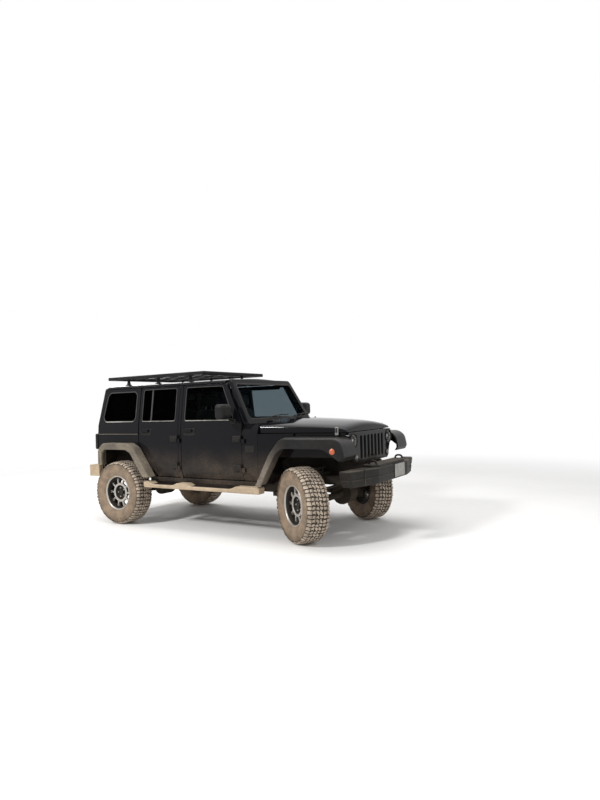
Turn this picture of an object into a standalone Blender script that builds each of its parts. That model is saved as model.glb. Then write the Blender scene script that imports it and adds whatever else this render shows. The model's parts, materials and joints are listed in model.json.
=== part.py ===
"""Lifted off-road 4x4 with four doors, a hard top and a roof rack.

Frame: +X forward, +Y left, +Z up, in metres. The origin lies on the ground
below the middle of the vehicle's length. It is parked with its front wheels
steered to the right. Distances along the car are measured from the axles.
"""
import math

import bmesh
import bpy
from mathutils import Matrix, Vector

# Overall layout
WHEELBASE = 2.947
FRONT_OVERHANG = 0.760
REAR_OVERHANG = 0.923
FRONT_AXLE_X = (WHEELBASE + REAR_OVERHANG - FRONT_OVERHANG) / 2
REAR_AXLE_X = FRONT_AXLE_X - WHEELBASE
FIT_GAP = 0.0003
SEAM_GAP = 0.006
CUT_OVERRUN = 0.050

# Tyres and rims
TYRE_RADIUS = 0.432
TYRE_WIDTH = 0.290
TYRE_SIDES = 24
TYRE_CENTRE_Y = 0.795
BEAD_RADIUS = 0.222
BEAD_HALF_WIDTH = 0.105
RIM_LIP_RADIUS = 0.236
RIM_LIP_WALL = 0.012
RIM_WALL = 0.012
HUB_RADIUS = 0.080
HUB_DEPTH = 0.050
HUB_INSET = 0.045
SPOKE_COUNT = 10
SPOKE_WIDTH = 0.028
SPOKE_DEPTH = 0.028
AXLE_Z = TYRE_RADIUS * math.cos(math.pi / TYRE_SIDES)

# Steering
KINGPIN_Y = 0.720
STEER_REST = math.radians(-32.0)
STEER_ARM_LENGTH = 0.160
STEER_ARM_INBOARD = 0.100
STEER_ARM_WIDTH = 0.036
STEER_ARM_HEIGHT = 0.026
TIE_ROD_RADIUS = 0.015
TIE_END_HALF = 0.018
TIE_ROD_LENGTH = 1.257
KNUCKLE_RADIUS = 0.034
KNUCKLE_HEIGHT = 0.190
STUB_RADIUS = 0.042

# Body heights
FLOOR_LOW_Z = 0.600
FLOOR_WALL = 0.055
DOOR_BOTTOM_Z = 0.665
TUCK_Z = 0.780
CREASE_Z = 1.230
BELT_Z = 1.358
DOOR_TOP_Z = 1.862
ROOF_EDGE_Z = 1.905
ROOF_SHOULDER_Z = 1.925
ROOF_CROWN_Z = 1.935
CARGO_FLOOR_Z = 0.800
CARGO_FLOOR_WALL = 0.035

# Body half widths
BODY_HALF = 0.785
SILL_TUCK = 0.035
BELT_TUCK = 0.009
DRIP_TUCK = 0.083
ROOF_EDGE_TUCK = 0.130
SILL_HALF = BODY_HALF - SILL_TUCK
BELT_HALF = BODY_HALF - BELT_TUCK
DRIP_HALF = BODY_HALF - DRIP_TUCK
ROOF_EDGE_HALF = BODY_HALF - ROOF_EDGE_TUCK
ROOF_SHOULDER_HALF = 0.380
DOOR_WALL = 0.075
FRAME_WALL = 0.045
ROOF_WALL = 0.030

# Body stations along the car
COWL_FRONT_BACK = 0.640
FIREWALL_BACK = 0.700
FIREWALL_WALL = 0.020
DOOR_FRONT_BACK = 0.870
B_PILLAR_SHARE = 0.573
B_PILLAR_WIDTH = 0.044
B_PILLAR_DEPTH = 0.080
COWL_TOP_Z = 1.345
COWL_WALL = 0.030
REAR_DOOR_REAR_AHEAD = 0.300
TUB_REAR_BEHIND = 0.523
TUB_WALL = 0.030
RISER_AHEAD = 0.520
WHEELHOUSE_CLEARANCE = 0.075
WHEELHOUSE_Y = TYRE_CENTRE_Y - TYRE_WIDTH / 2 - WHEELHOUSE_CLEARANCE
WHEELHOUSE_WALL = 0.025
REAR_POST_WIDTH = 0.165
REAR_POST_INNER = BODY_HALF - REAR_POST_WIDTH
TOP_BACK_LEAN = 0.085

# Windscreen
SCREEN_BASE_BACK = 0.790
SCREEN_TOP_BACK = 1.115
SCREEN_BASE_TUCK = 0.043
SCREEN_TOP_TUCK = 0.117
SCREEN_BASE_HALF = BODY_HALF - SCREEN_BASE_TUCK
SCREEN_TOP_HALF = BODY_HALF - SCREEN_TOP_TUCK
SCREEN_FRAME_WALL = 0.055
SCREEN_BORDER = 0.062
SCREEN_GLASS_WALL = 0.006
SCREEN_GLASS_INSET = 0.012

# Windows
WINDOW_SILL = 0.045
WINDOW_HEAD = 0.032
WINDOW_SIDE = 0.062
GLASS_WALL = 0.005
GLASS_INSET = 0.014
CORNER_CUT = 0.040
REAR_GLASS_HALF = 0.560

# Bonnet and front panels
NOSE_AHEAD = 0.440
BONNET_REAR_TUCK = 0.050
BONNET_REAR_HALF = BODY_HALF - BONNET_REAR_TUCK
BONNET_FRONT_HALF = 0.600
BONNET_CREASE_INSET = 0.035
BONNET_SKIRT_Z = 1.238
BONNET_EDGE_Z = 1.330
BONNET_CROWN = 0.055
BONNET_FRONT_DROP = 0.035
BONNET_NOSE_DROP = 0.060
BONNET_NOSE_LENGTH = 0.060
BONNET_WALL = 0.020
BONNET_HINGE_Y = 0.460
BONNET_HINGE_Z = 1.378
BONNET_PIN_RADIUS = 0.010
BONNET_STRAP_LENGTH = 0.090
LATCH_AHEAD = 0.345
LATCH_WIDTH = 0.040
LATCH_OUTBOARD = 0.014
LATCH_LOW_Z = 1.205
LATCH_TOP_Z = 1.300
APRON_WALL = 0.020
APRON_LOW_Z = 0.950

# Grille and lamps
GRILLE_WALL = 0.050
GRILLE_LOW_Z = 0.870
GRILLE_TOP_Z = 1.232
GRILLE_LOW_HALF = 0.470
GRILLE_TOP_HALF = 0.598
SLOT_COUNT = 7
SLOT_PITCH = 0.098
SLOT_WIDTH = 0.052
SLOT_LOW_Z = 0.915
SLOT_TOP_Z = 1.185
SLOT_CORNER = 0.014
HEADLAMP_Y = 0.490
HEADLAMP_Z = 1.135
HEADLAMP_RADIUS = 0.088
HEADLAMP_BULGE = 0.018
TURN_LAMP_Y = 0.440
TURN_LAMP_Z = 0.935
TURN_LAMP_RADIUS = 0.036
TURN_LAMP_DEPTH = 0.015

# Wheel arch flares
FLARE_OUTER = 0.925
FLARE_WALL = 0.022
FLARE_LIP = 0.030
FLARE_CHAMFER = 0.018
FRONT_FLARE_TOP_Z = 1.195
FRONT_FLARE_FOOT_Z = 0.630
FRONT_FLARE_INNER = 0.6015

COLLECTION = bpy.data.collections.new("off_road_4x4")
TOOLS = bpy.data.collections.new("cutters")
MATERIALS = {}


def along(ahead, axle_x=FRONT_AXLE_X):
    """Place along X, ahead of an axle."""
    return axle_x + ahead


COWL_FRONT_X = FRONT_AXLE_X - COWL_FRONT_BACK
FIREWALL_X = FRONT_AXLE_X - FIREWALL_BACK
DOOR_FRONT_X = FRONT_AXLE_X - DOOR_FRONT_BACK
REAR_DOOR_REAR_X = REAR_AXLE_X + REAR_DOOR_REAR_AHEAD
TUB_REAR_X = REAR_AXLE_X - TUB_REAR_BEHIND
RISER_X = REAR_AXLE_X + RISER_AHEAD
B_PILLAR_X = DOOR_FRONT_X + (REAR_DOOR_REAR_X - DOOR_FRONT_X) * B_PILLAR_SHARE
B_FRONT_X = B_PILLAR_X + B_PILLAR_WIDTH / 2
B_REAR_X = B_PILLAR_X - B_PILLAR_WIDTH / 2
NOSE_X = FRONT_AXLE_X + NOSE_AHEAD
BONNET_HINGE_X = COWL_FRONT_X - FIT_GAP


def clear_scene():
    for item in list(bpy.data.objects):
        bpy.data.objects.remove(item, do_unlink=True)
    bpy.context.scene.collection.children.link(COLLECTION)
    bpy.context.scene.collection.children.link(TOOLS)
    TOOLS.hide_render = True


def add_material(name, colour, roughness, metallic=0.0):
    material = bpy.data.materials.new(name)
    material.use_nodes = True
    shader = material.node_tree.nodes["Principled BSDF"]
    shader.inputs["Base Color"].default_value = (*colour, 1.0)
    shader.inputs["Roughness"].default_value = roughness
    shader.inputs["Metallic"].default_value = metallic
    MATERIALS[name] = material


def add_materials():
    add_material("black_paint", (0.012, 0.012, 0.014), 0.15)
    add_material("dark_plastic", (0.055, 0.053, 0.050), 0.65)
    add_material("dusty_plastic", (0.330, 0.250, 0.175), 0.80)
    add_material("tinted_glass", (0.010, 0.012, 0.014), 0.05)
    add_material("clear_glass", (0.550, 0.700, 0.700), 0.03)
    add_material("tyre_rubber", (0.140, 0.105, 0.080), 0.90)
    add_material("wheel_alloy", (0.300, 0.290, 0.280), 0.40, 0.9)
    add_material("chassis_black", (0.030, 0.028, 0.026), 0.70, 0.3)
    add_material("powder_black", (0.018, 0.018, 0.018), 0.55, 0.2)
    add_material("seat_fabric", (0.045, 0.044, 0.043), 0.90)
    add_material("cabin_plastic", (0.030, 0.030, 0.031), 0.60)
    add_material("lamp_lens", (0.750, 0.760, 0.760), 0.08)
    add_material("red_lens", (0.350, 0.015, 0.012), 0.15)


def store(mesh, name, material=None):
    """Put a mesh in the scene: a named part with its material, or a tool without one."""
    item = bpy.data.objects.new(name, mesh)
    if material is None:
        TOOLS.objects.link(item)
        item.hide_render = True
        item.display_type = "WIRE"
    else:
        COLLECTION.objects.link(item)
        mesh.materials.append(MATERIALS[material])
    return item


def mesh_from(form):
    """Close a bmesh, turn its faces outwards and return it as a mesh."""
    bmesh.ops.recalc_face_normals(form, faces=form.faces)
    mesh = bpy.data.meshes.new("form")
    form.to_mesh(mesh)
    form.free()
    return mesh


def loft(rings, name, material=None):
    """Solid through rings with the same number of points, capped at both ends."""
    form = bmesh.new()
    layers = [[form.verts.new(point) for point in ring] for ring in rings]
    count = len(layers[0])
    for lower, upper in zip(layers, layers[1:]):
        for index in range(count):
            after = (index + 1) % count
            form.faces.new((lower[index], lower[after], upper[after], upper[index]))
    form.faces.new(layers[0][::-1])
    form.faces.new(layers[-1])
    return store(mesh_from(form), name, material)


def prism(outline, axis, low, high, name, material=None):
    """Extrude a flat outline along X, Y or Z. Its points are the other two in order."""
    def place(point, level):
        coordinates = list(point)
        coordinates.insert("XYZ".index(axis), level)
        return coordinates

    rings = [[place(point, level) for point in outline] for level in (low, high)]
    return loft(rings, name, material)


def box(low, high, name, material=None):
    form = bmesh.new()
    bmesh.ops.create_cube(form, size=1)
    middle = (Vector(low) + Vector(high)) / 2
    extent = Vector(high) - Vector(low)
    bmesh.ops.transform(form, matrix=Matrix.Translation(middle) @ Matrix.Diagonal((*extent, 1)),
                        verts=form.verts)
    return store(mesh_from(form), name, material)


def side_box(x_range, y_range, z_range, side, name, material=None):
    """Box given for the left side, mirrored to the right one where side is -1."""
    y_low, y_high = sorted(side * y for y in y_range)
    return box((min(x_range), y_low, z_range[0]), (max(x_range), y_high, z_range[1]), name, material)


def rod(start, end, radius, name, material=None, sides=12):
    """Round bar between two points."""
    form = bmesh.new()
    axis = Vector(end) - Vector(start)
    bmesh.ops.create_cone(form, cap_ends=True, segments=sides, radius1=radius, radius2=radius,
                          depth=axis.length)
    turn = axis.to_track_quat("Z", "Y").to_matrix().to_4x4()
    middle = (Vector(start) + Vector(end)) / 2
    bmesh.ops.transform(form, matrix=Matrix.Translation(middle) @ turn, verts=form.verts)
    return store(mesh_from(form), name, material)


def turned(section, sides, placement, name, material=None):
    """Closed (radius, height) section turned round Z, with a flat facet facing -Y."""
    form = bmesh.new()
    start = math.pi / sides
    rings = []
    for index in range(sides):
        angle = start + 2 * math.pi * index / sides
        rings.append([form.verts.new((radius * math.cos(angle), radius * math.sin(angle), height))
                      for radius, height in section])
    count = len(section)
    for index in range(sides):
        here, there = rings[index], rings[(index + 1) % sides]
        for point in range(count):
            after = (point + 1) % count
            form.faces.new((here[point], there[point], there[after], here[after]))
    bmesh.ops.transform(form, matrix=placement, verts=form.verts)
    return store(mesh_from(form), name, material)


def combine(base, others, operation):
    for other in others:
        step = base.modifiers.new(operation.lower(), "BOOLEAN")
        step.operation = operation
        step.object = other
    return base


def unite(base, *others):
    return combine(base, others, "UNION")


def cut(base, *others):
    return combine(base, others, "DIFFERENCE")


def keep_inside(base, *others):
    return combine(base, others, "INTERSECT")


def inset(outline, distance):
    """Move every edge of a flat outline inwards by a distance."""
    area = sum(a[0] * b[1] - b[0] * a[1] for a, b in zip(outline, outline[1:] + outline[:1]))
    turn = math.copysign(1, area)
    moved = []
    count = len(outline)
    for index in range(count):
        here = Vector(outline[index])
        before = (here - Vector(outline[index - 1])).normalized()
        after = (Vector(outline[(index + 1) % count]) - here).normalized()
        normal_before = Vector((-before.y, before.x)) * turn
        normal_after = Vector((-after.y, after.x)) * turn
        middle = (normal_before + normal_after).normalized()
        moved.append(tuple(here + middle * (distance / middle.dot(normal_before))))
    return moved


# Cabin shell
def side_section(side, gap=0.0):
    """Section through a door in Y and Z, pushed apart from its neighbours by a gap."""
    outer = [(SILL_HALF, DOOR_BOTTOM_Z), (BODY_HALF, TUCK_Z), (BODY_HALF, CREASE_Z),
             (BELT_HALF, BELT_Z), (DRIP_HALF, DOOR_TOP_Z)]
    inner = [(DRIP_HALF - FRAME_WALL, DOOR_TOP_Z), (BELT_HALF - DOOR_WALL, BELT_Z),
             (BODY_HALF - DOOR_WALL, CREASE_Z), (BODY_HALF - DOOR_WALL, DOOR_BOTTOM_Z)]
    return [(side * (y + gap), z) for y, z in outer + inner]


def window_section(side):
    """Section of a pane, parallel to the slanted frame and inside its thickness."""
    lean = (BELT_HALF - DRIP_HALF) / (DOOR_TOP_Z - BELT_Z)

    def face(z, depth):
        return side * (BELT_HALF - depth - lean * (z - BELT_Z)), z

    return [face(BELT_Z, GLASS_INSET), face(DOOR_TOP_Z, GLASS_INSET),
            face(DOOR_TOP_Z, GLASS_INSET + GLASS_WALL), face(BELT_Z, GLASS_INSET + GLASS_WALL)]


def screen_x(z, depth=0.0):
    """Front face of the windscreen frame at a height, moved back by a depth."""
    share = (z - BELT_Z) / (ROOF_CROWN_Z - BELT_Z)
    base = FRONT_AXLE_X - SCREEN_BASE_BACK
    top = FRONT_AXLE_X - SCREEN_TOP_BACK
    return base + (top - base) * share - depth


FRONT_DOOR_HEAD_X = screen_x(DOOR_TOP_Z, SCREEN_FRAME_WALL + 2 * SEAM_GAP)
FRONT_DOOR_BELT_X = screen_x(BELT_Z, SCREEN_FRAME_WALL + 2 * SEAM_GAP)
FRONT_DOOR_OUTLINE = [
    (DOOR_FRONT_X - SEAM_GAP, DOOR_BOTTOM_Z), (DOOR_FRONT_X - SEAM_GAP, BELT_Z),
    (FRONT_DOOR_HEAD_X - SEAM_GAP, DOOR_TOP_Z), (B_FRONT_X + SEAM_GAP, DOOR_TOP_Z),
    (B_FRONT_X + SEAM_GAP, DOOR_BOTTOM_Z)]
FRONT_WINDOW_OUTLINE = [
    (DOOR_FRONT_X - WINDOW_SIDE * 2, BELT_Z + WINDOW_SILL),
    (FRONT_DOOR_HEAD_X - WINDOW_SIDE, DOOR_TOP_Z - WINDOW_HEAD),
    (B_FRONT_X + WINDOW_SIDE, DOOR_TOP_Z - WINDOW_HEAD),
    (B_FRONT_X + WINDOW_SIDE, BELT_Z + WINDOW_SILL)]

# Rear arch, ahead of the rear axle and above the ground: shoulder and foot of the cut
REAR_ARCH_TOP_Z = 1.110
REAR_ARCH_REAR_BEHIND = 0.383
REAR_ARCH_REAR_FOOT_Z = 0.810
REAR_ARCH_TOP_REAR_BEHIND = 0.283
REAR_ARCH_TOP_FRONT_AHEAD = 0.205
REAR_ARCH_SHOULDER_AHEAD = 0.330
REAR_ARCH_SHOULDER_Z = 1.050
REAR_ARCH_FOOT_AHEAD = 0.610
REAR_ARCH_FOOT_Z = 0.668
REAR_ARCH_BAND = 0.088
REAR_ARCH_RUN = 0.205
REAR_ARCH_SWING_GAP = 0.016
REAR_ARCH_OUTLINE = [
    (REAR_AXLE_X + REAR_ARCH_FOOT_AHEAD, REAR_ARCH_FOOT_Z),
    (REAR_AXLE_X + REAR_ARCH_SHOULDER_AHEAD, REAR_ARCH_SHOULDER_Z),
    (REAR_AXLE_X + REAR_ARCH_TOP_FRONT_AHEAD, REAR_ARCH_TOP_Z),
    (REAR_AXLE_X - REAR_ARCH_TOP_REAR_BEHIND, REAR_ARCH_TOP_Z),
    (REAR_AXLE_X - REAR_ARCH_REAR_BEHIND, REAR_ARCH_TOP_Z - REAR_ARCH_BAND),
    (REAR_AXLE_X - REAR_ARCH_REAR_BEHIND, REAR_ARCH_REAR_FOOT_Z)]


def carried_down(outline, foot_z):
    """Arch outline with both its feet carried down to a level."""
    return [(outline[0][0], foot_z), *outline, (outline[-1][0], foot_z)]


def arch_opening(outline, band, foot_z, rear_run):
    """Opening below an arch band: the outline moved in, its feet carried down and the rear one back."""
    inner = inset(outline, band)
    first, last = inner[0], inner[-1]
    return [(first[0], foot_z), *inner[1:-1], (last[0] - rear_run, foot_z)]


REAR_OPENING = arch_opening(REAR_ARCH_OUTLINE, REAR_ARCH_BAND, FLOOR_LOW_Z - CUT_OVERRUN, REAR_ARCH_RUN)
REAR_DOOR_CUT = carried_down(inset(REAR_ARCH_OUTLINE, -REAR_ARCH_SWING_GAP), FLOOR_LOW_Z)
REAR_DOOR_OUTLINE = [
    (B_REAR_X - SEAM_GAP, DOOR_BOTTOM_Z), (B_REAR_X - SEAM_GAP, DOOR_TOP_Z),
    (REAR_DOOR_REAR_X + SEAM_GAP * 3 / 2, DOOR_TOP_Z), (REAR_DOOR_REAR_X + SEAM_GAP * 3 / 2, DOOR_BOTTOM_Z)]
REAR_WINDOW_OUTLINE = [
    (B_REAR_X - WINDOW_SIDE, BELT_Z + WINDOW_SILL), (B_REAR_X - WINDOW_SIDE, DOOR_TOP_Z - WINDOW_HEAD),
    (REAR_DOOR_REAR_X + WINDOW_SIDE, DOOR_TOP_Z - WINDOW_HEAD),
    (REAR_DOOR_REAR_X + WINDOW_SIDE, BELT_Z + WINDOW_SILL)]
QUARTER_FRONT_X = REAR_DOOR_REAR_X - WINDOW_SIDE
QUARTER_REAR_X = TUB_REAR_X + WINDOW_SIDE * 1.5
QUARTER_WINDOW_OUTLINE = [
    (QUARTER_FRONT_X, BELT_Z + WINDOW_SILL), (QUARTER_FRONT_X, DOOR_TOP_Z - WINDOW_HEAD * 1.5),
    (QUARTER_REAR_X + TOP_BACK_LEAN, DOOR_TOP_Z - WINDOW_HEAD * 1.5),
    (QUARTER_REAR_X, BELT_Z + WINDOW_SILL)]

# Door fittings
HINGE_OUTBOARD = 0.026
HINGE_RADIUS = 0.012
HINGE_HEIGHT = 0.050
HINGE_LEAF = 0.110
HINGE_UPPER_Z = 1.170
HINGE_LOWER_Z = 0.820
LEAF_HEIGHT = 0.060
LEAF_WALL = 0.020
HANDLE_HEIGHT = 0.040
HANDLE_LENGTH = 0.190
HANDLE_DEPTH = 0.035
HANDLE_Z = 1.270
HANDLE_EDGE = 0.050
MIRROR_LENGTH = 0.120
MIRROR_WIDTH = 0.205
MIRROR_HEIGHT = 0.185
MIRROR_LOW_Z = 1.415
MIRROR_INNER = 0.830
MIRROR_BACK = 0.080
MIRROR_ARM = 0.035


def door(name, outline, window, side, front_x, glass_name):
    """Door panel with its frame, hinge straps and handle, and the pane in it."""
    ends = (min(x for x, _ in outline), max(x for x, _ in outline))
    panel = prism(side_section(side), "X", ends[0], ends[1], name, "black_paint")
    reach = sorted((side * (DRIP_HALF - FRAME_WALL - CUT_OVERRUN), side * (BODY_HALF + CUT_OVERRUN)))
    keep_inside(panel, prism(outline, "Y", *reach, name + "_outline"))
    cut(panel, prism(window, "Y", *reach, name + "_window"))
    skin = side * BODY_HALF
    axis_y = side * (BODY_HALF + HINGE_OUTBOARD)
    for label, z in (("upper", HINGE_UPPER_Z), ("lower", HINGE_LOWER_Z)):
        strap = side_box((front_x - HINGE_LEAF, front_x - HINGE_RADIUS),
                         (BODY_HALF - LEAF_WALL, BODY_HALF + LEAF_WALL),
                         (z - LEAF_HEIGHT / 2, z + LEAF_HEIGHT / 2), side, f"{name}_{label}_strap")
        barrel = rod((front_x, axis_y, z), (front_x, axis_y, z + HINGE_HEIGHT), HINGE_RADIUS,
                     f"{name}_{label}_barrel")
        web = side_box((front_x - 2 * HINGE_RADIUS, front_x), (BODY_HALF + LEAF_WALL / 2,
                       BODY_HALF + HINGE_OUTBOARD), (z + FIT_GAP * 2, z + LEAF_HEIGHT / 2 - FIT_GAP),
                       side, f"{name}_{label}_web")
        unite(panel, strap, barrel, web)
    handle_x = ends[0] + HANDLE_EDGE
    handle = side_box((handle_x, handle_x + HANDLE_LENGTH), (BODY_HALF - LEAF_WALL, BODY_HALF + HANDLE_DEPTH),
                      (HANDLE_Z - HANDLE_HEIGHT / 2, HANDLE_Z + HANDLE_HEIGHT / 2), side, name + "_handle")
    unite(panel, handle)
    pane = prism(window_section(side), "X", ends[0], ends[1], glass_name, "tinted_glass")
    keep_inside(pane, prism(inset(window, FIT_GAP), "Y", *reach, glass_name + "_outline"))
    return panel


def fixed_knuckles(base, axis_x, leaf_front_x, side, name):
    """Body halves of a door's two hinges, below the door's barrels."""
    for label, z in (("upper", HINGE_UPPER_Z), ("lower", HINGE_LOWER_Z)):
        y = side * (BODY_HALF + HINGE_OUTBOARD)
        top = z - 2 * FIT_GAP
        low = z - HINGE_HEIGHT
        knuckle = rod((axis_x, y, low), (axis_x, y, top), HINGE_RADIUS, f"{name}_{label}_knuckle")
        web = side_box((axis_x, leaf_front_x), (BODY_HALF + HINGE_OUTBOARD - HINGE_RADIUS,
                       BODY_HALF + HINGE_OUTBOARD), (low, top), side, f"{name}_{label}_leaf")
        foot_rear_x = axis_x + SEAM_GAP * 2
        foot = side_box((foot_rear_x, leaf_front_x), (BODY_HALF - LEAF_WALL, BODY_HALF + HINGE_OUTBOARD),
                        (low, top), side, f"{name}_{label}_foot")
        unite(base, knuckle, web, foot)


FRONT_HINGE_X = DOOR_FRONT_X - SEAM_GAP
REAR_HINGE_X = B_REAR_X - SEAM_GAP
FRONT_LEAF_AHEAD = 0.060
MIRROR_X = DOOR_FRONT_X - MIRROR_BACK


def doors():
    for side, label in ((1, "left"), (-1, "right")):
        front = door(f"door_front_{label}", FRONT_DOOR_OUTLINE, FRONT_WINDOW_OUTLINE, side,
                     FRONT_HINGE_X, f"door_glass_front_{label}")
        rear = door(f"door_rear_{label}", REAR_DOOR_OUTLINE, REAR_WINDOW_OUTLINE, side,
                    REAR_HINGE_X, f"door_glass_rear_{label}")
        cut(rear, prism(REAR_DOOR_CUT, "Y", -FLARE_OUTER, FLARE_OUTER, f"rear_door_cut_{label}"))
        housing = side_box((MIRROR_X - MIRROR_LENGTH, MIRROR_X), (MIRROR_INNER, MIRROR_INNER + MIRROR_WIDTH),
                           (MIRROR_LOW_Z, MIRROR_LOW_Z + MIRROR_HEIGHT), side, f"mirror_{label}")
        arm = side_box((MIRROR_X - MIRROR_ARM * 2, MIRROR_X - MIRROR_ARM), (BELT_HALF - LEAF_WALL,
                       MIRROR_INNER + MIRROR_ARM), (MIRROR_LOW_Z - MIRROR_ARM * 2,
                       MIRROR_LOW_Z + MIRROR_ARM), side, f"mirror_arm_{label}")
        foot = side_box((MIRROR_X - MIRROR_ARM * 2, MIRROR_X - MIRROR_ARM),
                        (BELT_HALF - DOOR_WALL / 2, BELT_HALF), (BELT_Z - MIRROR_ARM,
                        MIRROR_LOW_Z - MIRROR_ARM), side, f"mirror_foot_{label}")
        unite(front, housing, arm, foot)


# Tub: floor, sides, cowl, aprons beside the engine, pillars and wheelhouses
def cowl_section(side_wall):
    """Half section of the body ahead of the doors, up to the middle of the cowl."""
    return [(SILL_HALF - side_wall, DOOR_BOTTOM_Z), (BODY_HALF - side_wall, TUCK_Z),
            (BODY_HALF - side_wall, CREASE_Z), (BONNET_REAR_HALF - side_wall, COWL_TOP_Z - side_wall)]


def mirrored(points):
    return points + [(-y, z) for y, z in reversed(points)]


def tub():
    floor = box((RISER_X, -SILL_HALF, FLOOR_LOW_Z), (FIREWALL_X, SILL_HALF, FLOOR_LOW_Z + FLOOR_WALL),
                "body_tub", "black_paint")
    riser = box((RISER_X - CARGO_FLOOR_WALL, -SILL_HALF, FLOOR_LOW_Z), (RISER_X, SILL_HALF, CARGO_FLOOR_Z),
                "riser")
    cargo = box((TUB_REAR_X, -SILL_HALF + TUB_WALL, CARGO_FLOOR_Z - CARGO_FLOOR_WALL),
                (RISER_X - CARGO_FLOOR_WALL / 2, SILL_HALF - TUB_WALL, CARGO_FLOOR_Z), "cargo_floor")
    cowl_outer = prism(mirrored(cowl_section(0.0)), "X", DOOR_FRONT_X, COWL_FRONT_X, "cowl_outer")
    cowl_inner = prism(mirrored([(y, z - (FLOOR_WALL + CUT_OVERRUN) * (z == DOOR_BOTTOM_Z))
                                 for y, z in cowl_section(COWL_WALL)]), "X",
                       DOOR_FRONT_X - CUT_OVERRUN, COWL_FRONT_X + CUT_OVERRUN, "cowl_inner")
    cut(cowl_outer, cowl_inner)
    firewall = prism(mirrored([(y, z - TUB_WALL * (z == DOOR_BOTTOM_Z))
                               for y, z in cowl_section(COWL_WALL / 2)]), "X",
                     FIREWALL_X - FIREWALL_WALL, FIREWALL_X, "firewall")
    unite(floor, riser, cargo, cowl_outer, firewall)
    for side, label in ((1, "left"), (-1, "right")):
        quarter = prism([(side * y, z) for y, z in (
            (SILL_HALF, DOOR_BOTTOM_Z), (BODY_HALF, TUCK_Z), (BODY_HALF, CREASE_Z), (BELT_HALF, BELT_Z),
            (BELT_HALF - DOOR_WALL, BELT_Z), (BODY_HALF - DOOR_WALL, DOOR_BOTTOM_Z))],
            "X", TUB_REAR_X, REAR_DOOR_REAR_X, f"quarter_{label}")
        post = side_box((TUB_REAR_X, TUB_REAR_X + TUB_WALL), (REAR_POST_INNER, BODY_HALF - DOOR_WALL / 2),
                        (CARGO_FLOOR_Z - CARGO_FLOOR_WALL, BELT_Z), side, f"rear_post_{label}")
        pillar = prism([(side * y, z) for y, z in (
            (SILL_HALF, FLOOR_LOW_Z + FLOOR_WALL / 2), (BODY_HALF, TUCK_Z), (BODY_HALF, CREASE_Z),
            (BELT_HALF, BELT_Z), (DRIP_HALF, DOOR_TOP_Z), (DRIP_HALF - FRAME_WALL, DOOR_TOP_Z),
            (BODY_HALF - DOOR_WALL - B_PILLAR_DEPTH / 2, BELT_Z),
            (BODY_HALF - DOOR_WALL - B_PILLAR_DEPTH / 2, FLOOR_LOW_Z + FLOOR_WALL / 2))],
            "X", B_REAR_X, B_FRONT_X, f"b_pillar_{label}")
        house_rear_x = REAR_AXLE_X - REAR_ARCH_REAR_BEHIND - WHEELHOUSE_WALL
        house_z = (FLOOR_LOW_Z + FLOOR_WALL / 2, REAR_ARCH_TOP_Z - REAR_ARCH_BAND + WHEELHOUSE_WALL)
        house = side_box((house_rear_x, RISER_X + WHEELHOUSE_WALL),
                         (WHEELHOUSE_Y, BODY_HALF - DOOR_WALL - SEAM_GAP), house_z, side, f"wheelhouse_{label}")
        shelf = side_box((house_rear_x + WHEELHOUSE_WALL / 2, REAR_DOOR_REAR_X - WHEELHOUSE_WALL / 2),
                         (WHEELHOUSE_Y + WHEELHOUSE_WALL / 2, BODY_HALF - DOOR_WALL / 2),
                         (CARGO_FLOOR_Z, house_z[1] - WHEELHOUSE_WALL / 5), side, f"wheelhouse_shelf_{label}")
        apron = loft([[(x, side * y, z) for y, z in (
            (half, APRON_LOW_Z), (half, BONNET_SKIRT_Z - SEAM_GAP), (half - APRON_WALL, BONNET_SKIRT_Z - SEAM_GAP),
            (half - APRON_WALL, APRON_LOW_Z))] for x, half in (
                (COWL_FRONT_X - COWL_WALL, BONNET_REAR_HALF - APRON_WALL), (NOSE_X, BONNET_FRONT_HALF - APRON_WALL))],
            f"apron_{label}")
        unite(floor, quarter, post, pillar, house, shelf, apron)
        reach = sorted((side * (WHEELHOUSE_Y + WHEELHOUSE_WALL), side * (BODY_HALF + CUT_OVERRUN)))
        cut(floor, prism(REAR_OPENING, "Y", *reach, f"rear_wheel_cut_{label}"))
        fixed_knuckles(floor, FRONT_HINGE_X, FRONT_HINGE_X + FRONT_LEAF_AHEAD, side, f"front_{label}")
        fixed_knuckles(floor, REAR_HINGE_X, B_FRONT_X - SEAM_GAP / 2, side, f"rear_{label}")


# Hard top, roof panel and windscreen
TAILGATE_HALF = REAR_POST_INNER - SEAM_GAP
REAR_GLASS_LOW_Z = BELT_Z + WINDOW_SILL
REAR_GLASS_TOP_Z = DOOR_TOP_Z - WINDOW_HEAD


def top_section(gap=0.0):
    """Outer half section of the hard top from the belt to the crown, moved in by a gap."""
    return [(BELT_HALF - gap, BELT_Z + FIT_GAP), (DRIP_HALF - gap, DOOR_TOP_Z + SEAM_GAP),
            (ROOF_EDGE_HALF - gap, ROOF_EDGE_Z - gap), (ROOF_SHOULDER_HALF, ROOF_SHOULDER_Z - gap),
            (0, ROOF_CROWN_Z - gap)]


def mirrored_section(points):
    return points + [(-y, z) for y, z in reversed(points[:-1])]


def leaned(item):
    """Lean what lies behind the rear doors ahead with height, like the back of the hard top."""
    for vertex in item.data.vertices:
        if vertex.co.x < REAR_DOOR_REAR_X:
            vertex.co.x += TOP_BACK_LEAN * (vertex.co.z - BELT_Z) / (DOOR_TOP_Z - BELT_Z)
    return item


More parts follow.
